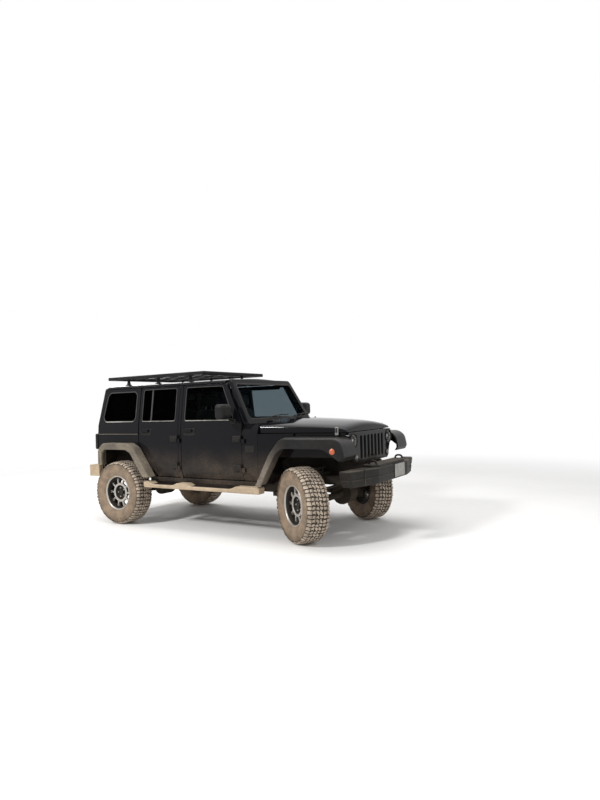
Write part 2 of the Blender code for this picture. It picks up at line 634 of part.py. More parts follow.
def hard_top():
    split_x = B_PILLAR_X - B_PILLAR_WIDTH
    shell = leaned(prism(mirrored_section(top_section()), "X", TUB_REAR_X, split_x - FIT_GAP,
                         "hard_top", "black_paint"))
    belt, *above = top_section(FRAME_WALL)
    hollow = [(belt[0], belt[1] - CUT_OVERRUN), *above]
    cut(shell, leaned(prism(mirrored_section(hollow), "X", TUB_REAR_X + TUB_WALL, split_x + CUT_OVERRUN,
                            "top_hollow")))
    cut(shell, box((REAR_DOOR_REAR_X, -BODY_HALF, BELT_Z - CUT_OVERRUN),
                   (split_x + CUT_OVERRUN, BODY_HALF, DOOR_TOP_Z + SEAM_GAP), "rear_door_space"))
    cut(shell, prism(QUARTER_WINDOW_OUTLINE, "Y", -BODY_HALF, BODY_HALF, "quarter_windows"))
    cut(shell, leaned(box((TUB_REAR_X - CUT_OVERRUN, -REAR_GLASS_HALF, REAR_GLASS_LOW_Z),
                          (TUB_REAR_X + TUB_WALL + CUT_OVERRUN, REAR_GLASS_HALF, REAR_GLASS_TOP_Z),
                          "rear_window")))
    for side, label in ((1, "left"), (-1, "right")):
        pane = prism(window_section(side), "X", TUB_REAR_X, REAR_DOOR_REAR_X, f"quarter_glass_{label}", "tinted_glass")
        reach = sorted((side * (DRIP_HALF - FRAME_WALL - CUT_OVERRUN), side * (BODY_HALF + CUT_OVERRUN)))
        keep_inside(pane, prism(inset(QUARTER_WINDOW_OUTLINE, FIT_GAP), "Y", *reach, f"quarter_pane_{label}"))
    leaned(box((TUB_REAR_X + GLASS_INSET, -REAR_GLASS_HALF + FIT_GAP, REAR_GLASS_LOW_Z + FIT_GAP),
               (TUB_REAR_X + GLASS_INSET + GLASS_WALL, REAR_GLASS_HALF - FIT_GAP, REAR_GLASS_TOP_Z - FIT_GAP),
               "rear_glass", "tinted_glass"))
    panel_section = top_section()[1:]
    under = [(y - ROOF_WALL, z - ROOF_WALL) for y, z in panel_section[1:-1]]
    under = [(panel_section[0][0] - FRAME_WALL, DOOR_TOP_Z + SEAM_GAP)] + under + [(0, ROOF_CROWN_Z - ROOF_WALL)]
    arch = mirrored_section(panel_section) + mirrored_section(under)[::-1]
    front_x = screen_x(ROOF_CROWN_Z, SCREEN_FRAME_WALL + FIT_GAP)
    prism(arch, "X", split_x, front_x, "roof_front_panel", "black_paint")


def screen_ring(z, half, front, back):
    return [(screen_x(z, front), -half, z), (screen_x(z, front), half, z),
            (screen_x(z, back), half, z), (screen_x(z, back), -half, z)]


def screen_half(z):
    share = (z - BELT_Z) / (ROOF_CROWN_Z - BELT_Z)
    return SCREEN_BASE_HALF + (SCREEN_TOP_HALF - SCREEN_BASE_HALF) * share


def windscreen():
    low_z, top_z = COWL_TOP_Z + FIT_GAP, ROOF_EDGE_Z + ROOF_WALL / 3
    frame = loft([screen_ring(z, screen_half(z), 0.0, SCREEN_FRAME_WALL) for z in (low_z, top_z)],
                 "windscreen_frame", "black_paint")
    pane_z = (low_z + SCREEN_BORDER, top_z - SCREEN_BORDER)
    cut(frame, loft([screen_ring(z, screen_half(z) - SCREEN_BORDER, -CUT_OVERRUN, SCREEN_FRAME_WALL + CUT_OVERRUN)
                     for z in pane_z], "screen_opening"))
    loft([screen_ring(z, screen_half(z) - SCREEN_BORDER - FIT_GAP, SCREEN_GLASS_INSET,
                      SCREEN_GLASS_INSET + SCREEN_GLASS_WALL)
          for z in (pane_z[0] + FIT_GAP, pane_z[1] - FIT_GAP)], "windscreen_glass", "clear_glass")


# Bonnet, grille and lamps
def bonnet_half(x):
    share = (x - COWL_FRONT_X) / (NOSE_X - COWL_FRONT_X)
    return BONNET_REAR_HALF + (BONNET_FRONT_HALF - BONNET_REAR_HALF) * share


def bonnet_ring(x, drop):
    """Section of the bonnet: a skirt, a rounded shoulder and a crowned top."""
    half = bonnet_half(x)
    rise = BONNET_EDGE_Z - drop - BONNET_SKIRT_Z
    crown = BONNET_CROWN * (1 - drop / BONNET_NOSE_DROP / 2)
    outer = [(half, BONNET_SKIRT_Z), (half - BONNET_CREASE_INSET / 3, BONNET_SKIRT_Z + rise * 2 / 3),
             (half - BONNET_CREASE_INSET, BONNET_SKIRT_Z + rise),
             (half / 2, BONNET_SKIRT_Z + rise + crown * 3 / 4), (0, BONNET_SKIRT_Z + rise + crown)]
    wall = min(BONNET_WALL, rise * 2 / 3)
    inner = [(half - BONNET_WALL, BONNET_SKIRT_Z)]
    inner += [(max(y - BONNET_WALL, 0), z - wall * 3 / 4) for y, z in outer[1:]]
    ring = mirrored_section(outer) + mirrored_section(inner)[::-1]
    return [(x, y, z) for y, z in ring]


def bonnet():
    stations = [(COWL_FRONT_X + SEAM_GAP, 0.0), ((COWL_FRONT_X + NOSE_X) / 2, BONNET_FRONT_DROP / 3),
                (NOSE_X - BONNET_NOSE_LENGTH, BONNET_FRONT_DROP),
                (NOSE_X - BONNET_NOSE_LENGTH / 3, BONNET_FRONT_DROP * 4 / 3),
                (NOSE_X + BONNET_NOSE_LENGTH / 3, BONNET_NOSE_DROP)]
    lid = loft([bonnet_ring(x, drop) for x, drop in stations], "bonnet", "black_paint")
    latch_x = FRONT_AXLE_X + LATCH_AHEAD
    latch_y = bonnet_half(latch_x)
    for side, label in ((1, "left"), (-1, "right")):
        barrel = rod((BONNET_HINGE_X, side * BONNET_HINGE_Y, BONNET_HINGE_Z),
                     (BONNET_HINGE_X, side * (BONNET_HINGE_Y - HINGE_HEIGHT), BONNET_HINGE_Z),
                     BONNET_PIN_RADIUS, f"bonnet_barrel_{label}", sides=10)
        strap = side_box((COWL_FRONT_X + SEAM_GAP * 2, COWL_FRONT_X + BONNET_STRAP_LENGTH),
                         (BONNET_HINGE_Y - HINGE_HEIGHT, BONNET_HINGE_Y),
                         (BONNET_EDGE_Z, BONNET_HINGE_Z), side, f"bonnet_strap_{label}")
        web = side_box((BONNET_HINGE_X, COWL_FRONT_X + SEAM_GAP * 3),
                       (BONNET_HINGE_Y - HINGE_HEIGHT + FIT_GAP, BONNET_HINGE_Y - FIT_GAP),
                       (BONNET_HINGE_Z - BONNET_PIN_RADIUS / 2, BONNET_HINGE_Z - FIT_GAP), side,
                       f"bonnet_web_{label}")
        latch = side_box((latch_x - LATCH_WIDTH / 2, latch_x + LATCH_WIDTH / 2),
                         (latch_y - BONNET_WALL / 2, latch_y + LATCH_OUTBOARD),
                         (LATCH_LOW_Z + FIT_GAP, LATCH_TOP_Z), side, f"bonnet_latch_{label}")
        unite(lid, strap, web, barrel, latch)


def bonnet_seats(body):
    """Cowl halves of the bonnet's hinges and the catches its latches rest on."""
    latch_x = FRONT_AXLE_X + LATCH_AHEAD
    latch_y = bonnet_half(latch_x)
    for side, label in ((1, "left"), (-1, "right")):
        start, end = BONNET_HINGE_Y + FIT_GAP, BONNET_HINGE_Y + HINGE_HEIGHT
        knuckle = rod((BONNET_HINGE_X, side * start, BONNET_HINGE_Z), (BONNET_HINGE_X, side * end, BONNET_HINGE_Z),
                      BONNET_PIN_RADIUS, f"cowl_knuckle_{label}", sides=10)
        foot = side_box((BONNET_HINGE_X - BONNET_STRAP_LENGTH / 2, BONNET_HINGE_X), (start + FIT_GAP, end - FIT_GAP),
                        (COWL_TOP_Z - COWL_WALL / 3, BONNET_HINGE_Z - FIT_GAP), side, f"cowl_foot_{label}")
        catch = side_box((latch_x - LATCH_WIDTH / 2 - FIT_GAP, latch_x + LATCH_WIDTH / 2 + FIT_GAP),
                         (latch_y - APRON_WALL * 3 / 2, latch_y + LATCH_OUTBOARD),
                         (FRONT_FLARE_TOP_Z + SEAM_GAP / 3, LATCH_LOW_Z), side, f"bonnet_catch_{label}")
        unite(body, foot, knuckle, catch)


def cylinder_x(low_x, high_x, y, z, radius, name, material=None, sides=24):
    return rod((low_x, y, z), (high_x, y, z), radius, name, material, sides)


def grille():
    back_x = NOSE_X + FIT_GAP
    outline = mirrored([(GRILLE_LOW_HALF, GRILLE_LOW_Z), (GRILLE_TOP_HALF, GRILLE_TOP_Z - TURN_LAMP_RADIUS),
                        (GRILLE_TOP_HALF - TURN_LAMP_RADIUS, GRILLE_TOP_Z)])
    plate = prism(outline, "X", back_x, back_x + GRILLE_WALL, "grille", "black_paint")
    for index in range(SLOT_COUNT):
        y = (index - (SLOT_COUNT - 1) / 2) * SLOT_PITCH
        slot = [(y - SLOT_WIDTH / 2, SLOT_LOW_Z + SLOT_CORNER), (y - SLOT_WIDTH / 2 + SLOT_CORNER, SLOT_LOW_Z),
                (y + SLOT_WIDTH / 2 - SLOT_CORNER, SLOT_LOW_Z), (y + SLOT_WIDTH / 2, SLOT_LOW_Z + SLOT_CORNER),
                (y + SLOT_WIDTH / 2, SLOT_TOP_Z - SLOT_CORNER), (y + SLOT_WIDTH / 2 - SLOT_CORNER, SLOT_TOP_Z),
                (y - SLOT_WIDTH / 2 + SLOT_CORNER, SLOT_TOP_Z), (y - SLOT_WIDTH / 2, SLOT_TOP_Z - SLOT_CORNER)]
        cut(plate, prism(slot, "X", back_x - CUT_OVERRUN, back_x + GRILLE_WALL + CUT_OVERRUN, f"slot_{index}"))
    for side, label in ((1, "left"), (-1, "right")):
        cut(plate, cylinder_x(back_x - CUT_OVERRUN, back_x + GRILLE_WALL + CUT_OVERRUN, side * HEADLAMP_Y,
                              HEADLAMP_Z, HEADLAMP_RADIUS + FIT_GAP * 2, f"lamp_hole_{label}"))
        lamp = cylinder_x(back_x + FIT_GAP,
                          back_x + GRILLE_WALL + HEADLAMP_BULGE / 2, side * HEADLAMP_Y, HEADLAMP_Z,
                          HEADLAMP_RADIUS, f"headlamp_{label}", "lamp_lens")
        unite(lamp, cylinder_x(back_x + GRILLE_WALL, back_x + GRILLE_WALL + HEADLAMP_BULGE, side * HEADLAMP_Y,
                               HEADLAMP_Z, HEADLAMP_RADIUS * 3 / 4, f"lamp_bulge_{label}"))
        unite(plate, cylinder_x(back_x + GRILLE_WALL / 2, back_x + GRILLE_WALL + TURN_LAMP_DEPTH,
                                side * TURN_LAMP_Y, TURN_LAMP_Z, TURN_LAMP_RADIUS, f"turn_lamp_{label}", sides=16))


# Wheel arch flares
FRONT_ARCH_OUTLINE = [
    (FRONT_AXLE_X - 0.600, FRONT_FLARE_FOOT_Z), (FRONT_AXLE_X - 0.395, 1.000),
    (FRONT_AXLE_X - 0.255, 1.165), (FRONT_AXLE_X - 0.190, FRONT_FLARE_TOP_Z),
    (FRONT_AXLE_X + 0.500, FRONT_FLARE_TOP_Z - 0.010), (FRONT_AXLE_X + 0.570, 1.130),
    (FRONT_AXLE_X + 0.600, 0.950), (FRONT_AXLE_X + 0.560, 0.900)]
FRONT_OPENING = [
    (FRONT_AXLE_X - 0.515, FRONT_FLARE_FOOT_Z - CUT_OVERRUN), (FRONT_AXLE_X - 0.420, 0.800),
    (FRONT_AXLE_X - 0.305, 1.000), (FRONT_AXLE_X - 0.220, 1.070),
    (FRONT_AXLE_X + 0.330, 1.070), (FRONT_AXLE_X + 0.430, 0.985), (FRONT_AXLE_X + 0.520, 0.900),
    (FRONT_AXLE_X + 0.520, FRONT_FLARE_FOOT_Z - CUT_OVERRUN)]


def flare(name, outline, opening, side, inner_y):
    """Arch moulding: a thin skin with a lip at its outer edge, open over the wheel."""
    def ring(points, y):
        return [(x, side * y, z) for x, z in points]

    slim = inset(outline, FLARE_CHAMFER)
    skin = loft([ring(outline, inner_y), ring(outline, FLARE_OUTER - FLARE_CHAMFER), ring(slim, FLARE_OUTER)],
                name, "dark_plastic")
    under = inset(outline, FLARE_WALL)
    cut(skin, loft([ring(under, inner_y - CUT_OVERRUN), ring(under, FLARE_OUTER - FLARE_LIP)], name + "_under"))
    cut(skin, loft([ring(opening, inner_y - CUT_OVERRUN), ring(opening, FLARE_OUTER + CUT_OVERRUN)],
                   name + "_opening"))
    return skin


def panel_edge(x):
    """Half width of the engine bay's outer face at a place along the car."""
    return bonnet_half(x) - APRON_WALL


FENDER_PANEL_FRONT_X = FRONT_AXLE_X - 0.190


def front_flares(body):
    """Front flares, and the body panel behind each one."""
    for side, label in ((1, "left"), (-1, "right")):
        arch = flare(f"flare_front_{label}", FRONT_ARCH_OUTLINE, FRONT_OPENING, side,
                     GRILLE_TOP_HALF + 2 * FIT_GAP)
        rear_x, front_x = COWL_FRONT_X - CUT_OVERRUN, NOSE_X + CUT_OVERRUN * 4
        inner = CUT_OVERRUN
        taper = loft([[(x, side * y, z) for y, z in (
            (inner, FRONT_FLARE_FOOT_Z - 2 * CUT_OVERRUN), (half, FRONT_FLARE_FOOT_Z - 2 * CUT_OVERRUN),
            (half, BELT_Z), (inner, BELT_Z))] for x, half in (
                (rear_x, panel_edge(rear_x) + FIT_GAP), (NOSE_X, panel_edge(NOSE_X) + FIT_GAP),
                (front_x, panel_edge(NOSE_X) + FIT_GAP))], f"flare_taper_{label}")
        cut(arch, taper)
        panel = loft([[(x, side * y, z) for y, z in (
            (half, DOOR_BOTTOM_Z), (half, CREASE_Z), (half - inner_wall, CREASE_Z),
            (half - inner_wall, DOOR_BOTTOM_Z))] for x, half, inner_wall in (
                (COWL_FRONT_X - COWL_WALL / 2, BODY_HALF, COWL_WALL),
                (FENDER_PANEL_FRONT_X, panel_edge(FENDER_PANEL_FRONT_X) + COWL_WALL, COWL_WALL * 3 / 2))],
            f"fender_panel_{label}")
        grown = carried_down(inset(FRONT_ARCH_OUTLINE, -FIT_GAP), FLOOR_LOW_Z)
        cut(panel, prism(grown, "Y", -FLARE_OUTER, FLARE_OUTER, f"fender_panel_cut_{label}"))
        unite(body, panel)


def rear_flares():
    for side, label in ((1, "left"), (-1, "right")):
        flare(f"flare_rear_{label}", REAR_ARCH_OUTLINE, REAR_OPENING, side, BODY_HALF + FIT_GAP)


# Wheels
TYRE_PROFILE_SHARES = ((0.18, 0.88), (0.45, 1.00), (0.80, 0.96), (1.00, 0.78))
SPOKE_FACE_OFFSET = BEAD_HALF_WIDTH - HUB_INSET


def tyre_section():
    """Closed (radius, width) section from the rim's bead to the lug tips."""
    flange = RIM_LIP_RADIUS + FIT_GAP
    half = [(BEAD_RADIUS + FIT_GAP, BEAD_HALF_WIDTH), (flange, BEAD_HALF_WIDTH)]
    half += [(flange + (TYRE_RADIUS - flange) * rise, TYRE_WIDTH / 2 * width)
             for rise, width in TYRE_PROFILE_SHARES]
    return half + [(radius, -height) for radius, height in reversed(half)]


def rim_section():
    seat = BEAD_HALF_WIDTH + FIT_GAP
    edge = seat + RIM_LIP_WALL
    inner = BEAD_RADIUS - RIM_WALL
    return [(inner, edge), (RIM_LIP_RADIUS, edge), (RIM_LIP_RADIUS, seat), (BEAD_RADIUS, seat),
            (BEAD_RADIUS, -seat), (inner, -seat)]


def spoke_windows(placement, name):
    """Gaps between the spokes, as one cutter."""
    form = bmesh.new()
    inner, outer = HUB_RADIUS + SPOKE_WIDTH / 3, BEAD_RADIUS - RIM_WALL * 2
    for index in range(SPOKE_COUNT):
        middle = 2 * math.pi * (index + 1 / 2) / SPOKE_COUNT
        corners = []
        for radius in (inner, outer):
            half_angle = math.pi / SPOKE_COUNT - math.asin(SPOKE_WIDTH / 2 / radius)
            corners += [(radius, middle - half_angle), (radius, middle + half_angle)]
        order = (corners[0], corners[2], corners[3], corners[1])
        rings = [[form.verts.new((r * math.cos(a), r * math.sin(a), level)) for r, a in order]
                 for level in (-TYRE_WIDTH, TYRE_WIDTH)]
        for point in range(4):
            after = (point + 1) % 4
            form.faces.new((rings[0][point], rings[0][after], rings[1][after], rings[1][point]))
        form.faces.new(rings[0][::-1])
        form.faces.new(rings[1])
    bmesh.ops.transform(form, matrix=placement, verts=form.verts)
    return store(mesh_from(form), name)


def disc(radius, low, high, sides, placement, name, material=None):
    form = bmesh.new()
    bmesh.ops.create_cone(form, cap_ends=True, segments=sides, radius1=radius, radius2=radius,
                          depth=high - low)
    lift = Matrix.Translation((0, 0, (low + high) / 2)) @ Matrix.Rotation(math.pi / sides, 4, "Z")
    bmesh.ops.transform(form, matrix=placement @ lift, verts=form.verts)
    return store(mesh_from(form), name, material)


def wheel(label, placement):
    """Tyre and rim on a placement whose +Z points out of the wheel's face."""
    turned(tyre_section(), TYRE_SIDES, placement, f"tyre_{label}", "tyre_rubber")
    rim = turned(rim_section(), TYRE_SIDES, placement, f"rim_{label}", "wheel_alloy")
    face = disc(BEAD_RADIUS - RIM_WALL / 2, SPOKE_FACE_OFFSET - SPOKE_DEPTH, SPOKE_FACE_OFFSET,
                TYRE_SIDES, placement, f"rim_face_{label}")
    cut(face, spoke_windows(placement, f"rim_windows_{label}"))
    hub = disc(HUB_RADIUS, SPOKE_FACE_OFFSET - HUB_DEPTH, SPOKE_FACE_OFFSET + SPOKE_DEPTH / 3, 16,
               placement, f"rim_hub_{label}")
    unite(rim, face, hub)


HUB_PLANE = TYRE_CENTRE_Y + SPOKE_FACE_OFFSET - HUB_DEPTH - FIT_GAP


def wheel_placement(x, side, steer):
    """Wheel frame turned about the kingpin: local Z points out, local Y points up."""
    kingpin = Matrix.Translation((x, side * KINGPIN_Y, AXLE_Z)) @ Matrix.Rotation(steer, 4, "Z")
    out = Matrix.Translation((0, side * (TYRE_CENTRE_Y - KINGPIN_Y), 0))
    return kingpin @ out @ Matrix.Rotation(-side * math.pi / 2, 4, "X")


def wheels():
    for side, label in ((1, "left"), (-1, "right")):
        wheel(f"front_{label}", wheel_placement(FRONT_AXLE_X, side, STEER_REST))
        wheel(f"rear_{label}", wheel_placement(REAR_AXLE_X, side, 0.0))


def place_all(item, matrix):
    item.data.transform(matrix)
    return item


YOKE_WALL = 0.024
YOKE_HALF = 0.025
YOKE_WEB_HALF = 0.046
YOKE_INBOARD = 0.105
YOKE_OUTBOARD = 0.010
RISER_INNER = 0.036
RISER_OUTER = 0.072
RISER_HALF = 0.030


def knuckles():
    """Steering knuckles, their arms above the yokes and the rod that ties them."""
    ends = []
    arm_low = KNUCKLE_HEIGHT / 2 + YOKE_WALL + SEAM_GAP
    arm_top = arm_low + STEER_ARM_HEIGHT
    for side, label in ((1, "left"), (-1, "right")):
        turn = Matrix.Translation((FRONT_AXLE_X, side * KINGPIN_Y, AXLE_Z)) @ Matrix.Rotation(STEER_REST, 4, "Z")
        knuckle = place_all(rod((0, 0, -KNUCKLE_HEIGHT / 2), (0, 0, KNUCKLE_HEIGHT / 2), KNUCKLE_RADIUS,
                                f"knuckle_{label}", "chassis_black", 14), turn)
        stub = place_all(rod((0, 0, 0), (0, side * (HUB_PLANE - KINGPIN_Y), 0), STUB_RADIUS,
                             f"stub_{label}", sides=13), turn)
        riser = place_all(side_box((-RISER_HALF, RISER_HALF), (RISER_INNER, RISER_OUTER), (0, arm_top), side,
                                   f"knuckle_riser_{label}"), turn)
        start = Vector((0, side * (RISER_INNER + RISER_OUTER) / 2, 0))
        end = Vector((STEER_ARM_LENGTH, -side * STEER_ARM_INBOARD, 0))
        run = (end - start).normalized() * (STEER_ARM_WIDTH / 2)
        across = Vector((-run.y, run.x, 0))
        corners = (start + across, end + run + across, end + run - across, start - across)
        arm = place_all(loft([[(*corner.xy, level) for corner in corners]
                              for level in (arm_low, arm_top - FIT_GAP)], f"steer_arm_{label}"), turn)
        unite(knuckle, stub, riser, arm)
        ends.append(turn @ (end + Vector((0, 0, arm_top + TIE_END_HALF))))
    ends[0] = ends[1] + (ends[0] - ends[1]).normalized() * TIE_ROD_LENGTH
    tie = rod(ends[0], ends[1], TIE_ROD_RADIUS, "tie_rod", "chassis_black", 10)
    for index, end in enumerate(ends):
        pad = rod(end - Vector((0, 0, TIE_END_HALF)), end + Vector((0, 0, TIE_END_HALF)),
                  STEER_ARM_WIDTH / 2, f"tie_rod_end_{index}", sides=11)
        unite(tie, pad)
    return ends


# Chassis
RAIL_OUTER = 0.430
RAIL_WIDTH = 0.070
RAIL_HEIGHT = 0.100
RAIL_MID_TOP_Z = 0.590
RAIL_END_TOP_Z = 0.720
RAIL_FRONT_AHEAD = 0.555
RAIL_KICK_AHEAD = -0.400
RAIL_KICK_FOOT_AHEAD = -0.660
RAIL_REAR_KICK_AHEAD = 0.430
RAIL_REAR_KICK_TOP_AHEAD = 0.200
BODY_MOUNT_SIZE = 0.060
TOWER_TOP_FRONT_Z = 0.830
TOWER_TOP_REAR_Z = 0.745
TOWER_WALL = 0.022
TOWER_OUTER = 0.570
SPRING_Y = 0.505
SPRING_RADIUS = 0.052
SPRING_RINGS = 3
SHOCK_RADIUS = 0.026
SHOCK_BEHIND = 0.105
CROSS_WIDTH = 0.080
CROSS_HEIGHT = 0.070


def chassis():
    front_x = FRONT_AXLE_X + RAIL_FRONT_AHEAD
    rear_x = TUB_REAR_X + TUB_WALL
    top = [(front_x, RAIL_END_TOP_Z), (FRONT_AXLE_X + RAIL_KICK_AHEAD, RAIL_END_TOP_Z),
           (FRONT_AXLE_X + RAIL_KICK_FOOT_AHEAD, RAIL_MID_TOP_Z),
           (REAR_AXLE_X + RAIL_REAR_KICK_AHEAD, RAIL_MID_TOP_Z),
           (REAR_AXLE_X + RAIL_REAR_KICK_TOP_AHEAD, RAIL_END_TOP_Z), (rear_x, RAIL_END_TOP_Z)]
    outline = top + [(x, z - RAIL_HEIGHT) for x, z in reversed(top)]
    frame = prism(outline, "Y", RAIL_OUTER - RAIL_WIDTH, RAIL_OUTER, "chassis_frame", "chassis_black")
    other = prism(outline, "Y", -RAIL_OUTER, RAIL_WIDTH - RAIL_OUTER, "rail_right")
    unite(frame, other)
    end_middle = RAIL_END_TOP_Z - RAIL_HEIGHT / 2
    for index, (x, z) in enumerate(((front_x - CROSS_WIDTH, end_middle), (rear_x + CROSS_WIDTH, end_middle),
                                    (REAR_AXLE_X + RAIL_REAR_KICK_AHEAD + CROSS_WIDTH,
                                     RAIL_MID_TOP_Z - CROSS_HEIGHT * 2 / 3))):
        unite(frame, box((x - CROSS_WIDTH / 2, -RAIL_OUTER + RAIL_WIDTH / 2, z - CROSS_HEIGHT / 2),
                         (x + CROSS_WIDTH / 2, RAIL_OUTER - RAIL_WIDTH / 2, z + CROSS_HEIGHT / 2), f"cross_{index}"))
    mounts = ((FIREWALL_X - BODY_MOUNT_SIZE, RAIL_MID_TOP_Z, FLOOR_LOW_Z),
              (B_PILLAR_X, RAIL_MID_TOP_Z, FLOOR_LOW_Z),
              (TUB_REAR_X + BODY_MOUNT_SIZE * 2, RAIL_END_TOP_Z, CARGO_FLOOR_Z - CARGO_FLOOR_WALL))
    for side, label in ((1, "left"), (-1, "right")):
        for index, (x, low, high) in enumerate(mounts):
            unite(frame, side_box((x - BODY_MOUNT_SIZE / 2, x + BODY_MOUNT_SIZE / 2),
                                  (RAIL_OUTER - RAIL_WIDTH * 5 / 6, RAIL_OUTER - RAIL_WIDTH / 6),
                                  (low - RAIL_WIDTH / 3, high - FIT_GAP), side, f"body_mount_{index}_{label}"))
        for axle_x, top_z, end in ((FRONT_AXLE_X, TOWER_TOP_FRONT_Z, "front"),
                                   (REAR_AXLE_X, TOWER_TOP_REAR_Z, "rear")):
            reach = (axle_x - SHOCK_BEHIND - SHOCK_RADIUS * 3 / 2, axle_x + SPRING_RADIUS * 5 / 4)
            shelf = side_box(reach, (RAIL_OUTER - RAIL_WIDTH / 2, TOWER_OUTER), (top_z - TOWER_WALL, top_z),
                             side, f"tower_{end}_{label}")
            web = side_box((reach[0] + TOWER_WALL, reach[1] - TOWER_WALL),
                           (RAIL_OUTER - RAIL_WIDTH / 3, RAIL_OUTER + TOWER_WALL / 2),
                           (RAIL_END_TOP_Z - RAIL_HEIGHT / 2, top_z - TOWER_WALL / 2), side, f"web_{end}_{label}")
            unite(frame, shelf, web)


AXLE_RADIUS = 0.040
DIFF_RADIUS = 0.135
DIFF_WIDTH = 0.200
FRONT_DIFF_Y = 0.200
PERCH_HALF = 0.045
ARM_RADIUS = 0.022
ARM_Y = 0.392
ARM_BACK = 0.660
ARM_BLOCK = 0.050
FLANGE_RADIUS = 0.062


def spring_section(low, high):
    """Stack of coils as a grooved column."""
    section = [(SPRING_RADIUS * 2 / 3, low)]
    pitch = (high - low) / SPRING_RINGS
    for index in range(SPRING_RINGS):
        section += [(SPRING_RADIUS, low + pitch * (index + 1 / 4)), (SPRING_RADIUS, low + pitch * (index + 3 / 4)),
                    (SPRING_RADIUS * 2 / 3, low + pitch * (index + 1))]
    return section


def column(section, sides, x, y, name):
    """Solid of revolution about a vertical axis, closed with flat ends."""
    rings = [[(x + radius * math.cos(2 * math.pi * step / sides), y + radius * math.sin(2 * math.pi * step / sides), z)
              for step in range(sides)] for radius, z in section]
    return loft(rings, name)


def axle(name, axle_x, tube_end, diff_y, tower_z, arm_direction):
    tube = rod((axle_x, -tube_end, AXLE_Z), (axle_x, tube_end, AXLE_Z), AXLE_RADIUS, name, "chassis_black", 16)
    pumpkin = rod((axle_x, diff_y - DIFF_WIDTH / 2, AXLE_Z), (axle_x, diff_y + DIFF_WIDTH / 2, AXLE_Z),
                  DIFF_RADIUS, name + "_diff", sides=15)
    nose_x = axle_x + arm_direction * (DIFF_RADIUS + AXLE_RADIUS)
    nose = rod((axle_x, diff_y, AXLE_Z), (nose_x, diff_y, AXLE_Z), AXLE_RADIUS * 3 / 2, name + "_nose", sides=10)
    unite(tube, pumpkin, nose)
    for side, label in ((1, "left"), (-1, "right")):
        top_z = tower_z - TOWER_WALL - FIT_GAP
        coil = column(spring_section(AXLE_Z + AXLE_RADIUS / 2, top_z), 8, axle_x, side * SPRING_Y,
                      f"{name}_spring_{label}")
        shock = rod((axle_x - SHOCK_BEHIND, side * SPRING_Y, AXLE_Z - AXLE_RADIUS),
                    (axle_x - SHOCK_BEHIND, side * SPRING_Y, top_z), SHOCK_RADIUS, f"{name}_shock_{label}", sides=8)
        perch = side_box((axle_x - SHOCK_BEHIND - SHOCK_RADIUS, axle_x + AXLE_RADIUS),
                         (SPRING_Y - PERCH_HALF, SPRING_Y + PERCH_HALF), (AXLE_Z - AXLE_RADIUS / 2,
                         AXLE_Z + AXLE_RADIUS / 2), side, f"{name}_perch_{label}")
        end_x = axle_x + arm_direction * ARM_BACK
        end_z = RAIL_MID_TOP_Z - RAIL_HEIGHT - FIT_GAP
        block = side_box((end_x - ARM_BLOCK / 2, end_x + ARM_BLOCK / 2), (ARM_Y - ARM_BLOCK / 2, ARM_Y + ARM_BLOCK / 2),
                         (end_z - ARM_BLOCK, end_z), side, f"{name}_arm_block_{label}")
        link = rod((axle_x, side * ARM_Y, AXLE_Z - AXLE_RADIUS * 2 / 3), (end_x, side * ARM_Y, end_z - ARM_BLOCK / 2),
                   ARM_RADIUS, f"{name}_arm_{label}", sides=7)
        unite(tube, coil, shock, perch, block, link)
    return tube


def axles():
    yoke_y = KINGPIN_Y - YOKE_INBOARD
    front = axle("front_axle", FRONT_AXLE_X, yoke_y + YOKE_WALL / 2, FRONT_DIFF_Y, TOWER_TOP_FRONT_Z, -1)
    rear = axle("rear_axle", REAR_AXLE_X, TYRE_CENTRE_Y - TYRE_WIDTH / 2, 0.0, TOWER_TOP_REAR_Z, 1)
    half = KNUCKLE_HEIGHT / 2 + FIT_GAP
    for side, label in ((1, "left"), (-1, "right")):
        web = side_box((FRONT_AXLE_X - YOKE_WEB_HALF, FRONT_AXLE_X + YOKE_WEB_HALF),
                       (yoke_y, yoke_y + YOKE_WALL), (AXLE_Z - half - YOKE_WALL * 2 / 3,
                       AXLE_Z + half + YOKE_WALL * 2 / 3), side, f"yoke_{label}")
        unite(front, web)
        for level, low in (("upper", AXLE_Z + half), ("lower", AXLE_Z - half - YOKE_WALL)):
            unite(front, side_box((FRONT_AXLE_X - YOKE_HALF, FRONT_AXLE_X + YOKE_HALF),
                                  (yoke_y + YOKE_WALL / 2, KINGPIN_Y + YOKE_OUTBOARD),
                                  (low, low + YOKE_WALL), side, f"yoke_{level}_{label}"))
        ends = sorted((side * (TYRE_CENTRE_Y - TYRE_WIDTH / 2 - FLANGE_RADIUS), side * HUB_PLANE))
        unite(rear, rod((REAR_AXLE_X, ends[0], AXLE_Z), (REAR_AXLE_X, ends[1], AXLE_Z), FLANGE_RADIUS,
                        f"rear_flange_{label}", sides=14))


# Engine, gearbox and shafts
ENGINE_REAR_BACK = 0.560
ENGINE_FRONT_AHEAD = 0.250
ENGINE_HALF = 0.255
ENGINE_LOW_Z = 0.640
ENGINE_TOP_Z = 1.180
RADIATOR_HALF = 0.350
RADIATOR_LOW_Z = 0.760
GEARBOX_HALF = 0.150
GEARBOX_LOW_Z = 0.450
GEARBOX_LENGTH = 1.000
TRANSFER_LENGTH = 0.320
SHAFT_RADIUS = 0.028
ENGINE_ARM_AHEAD = 0.000
ENGINE_ARM_WIDTH = 0.080


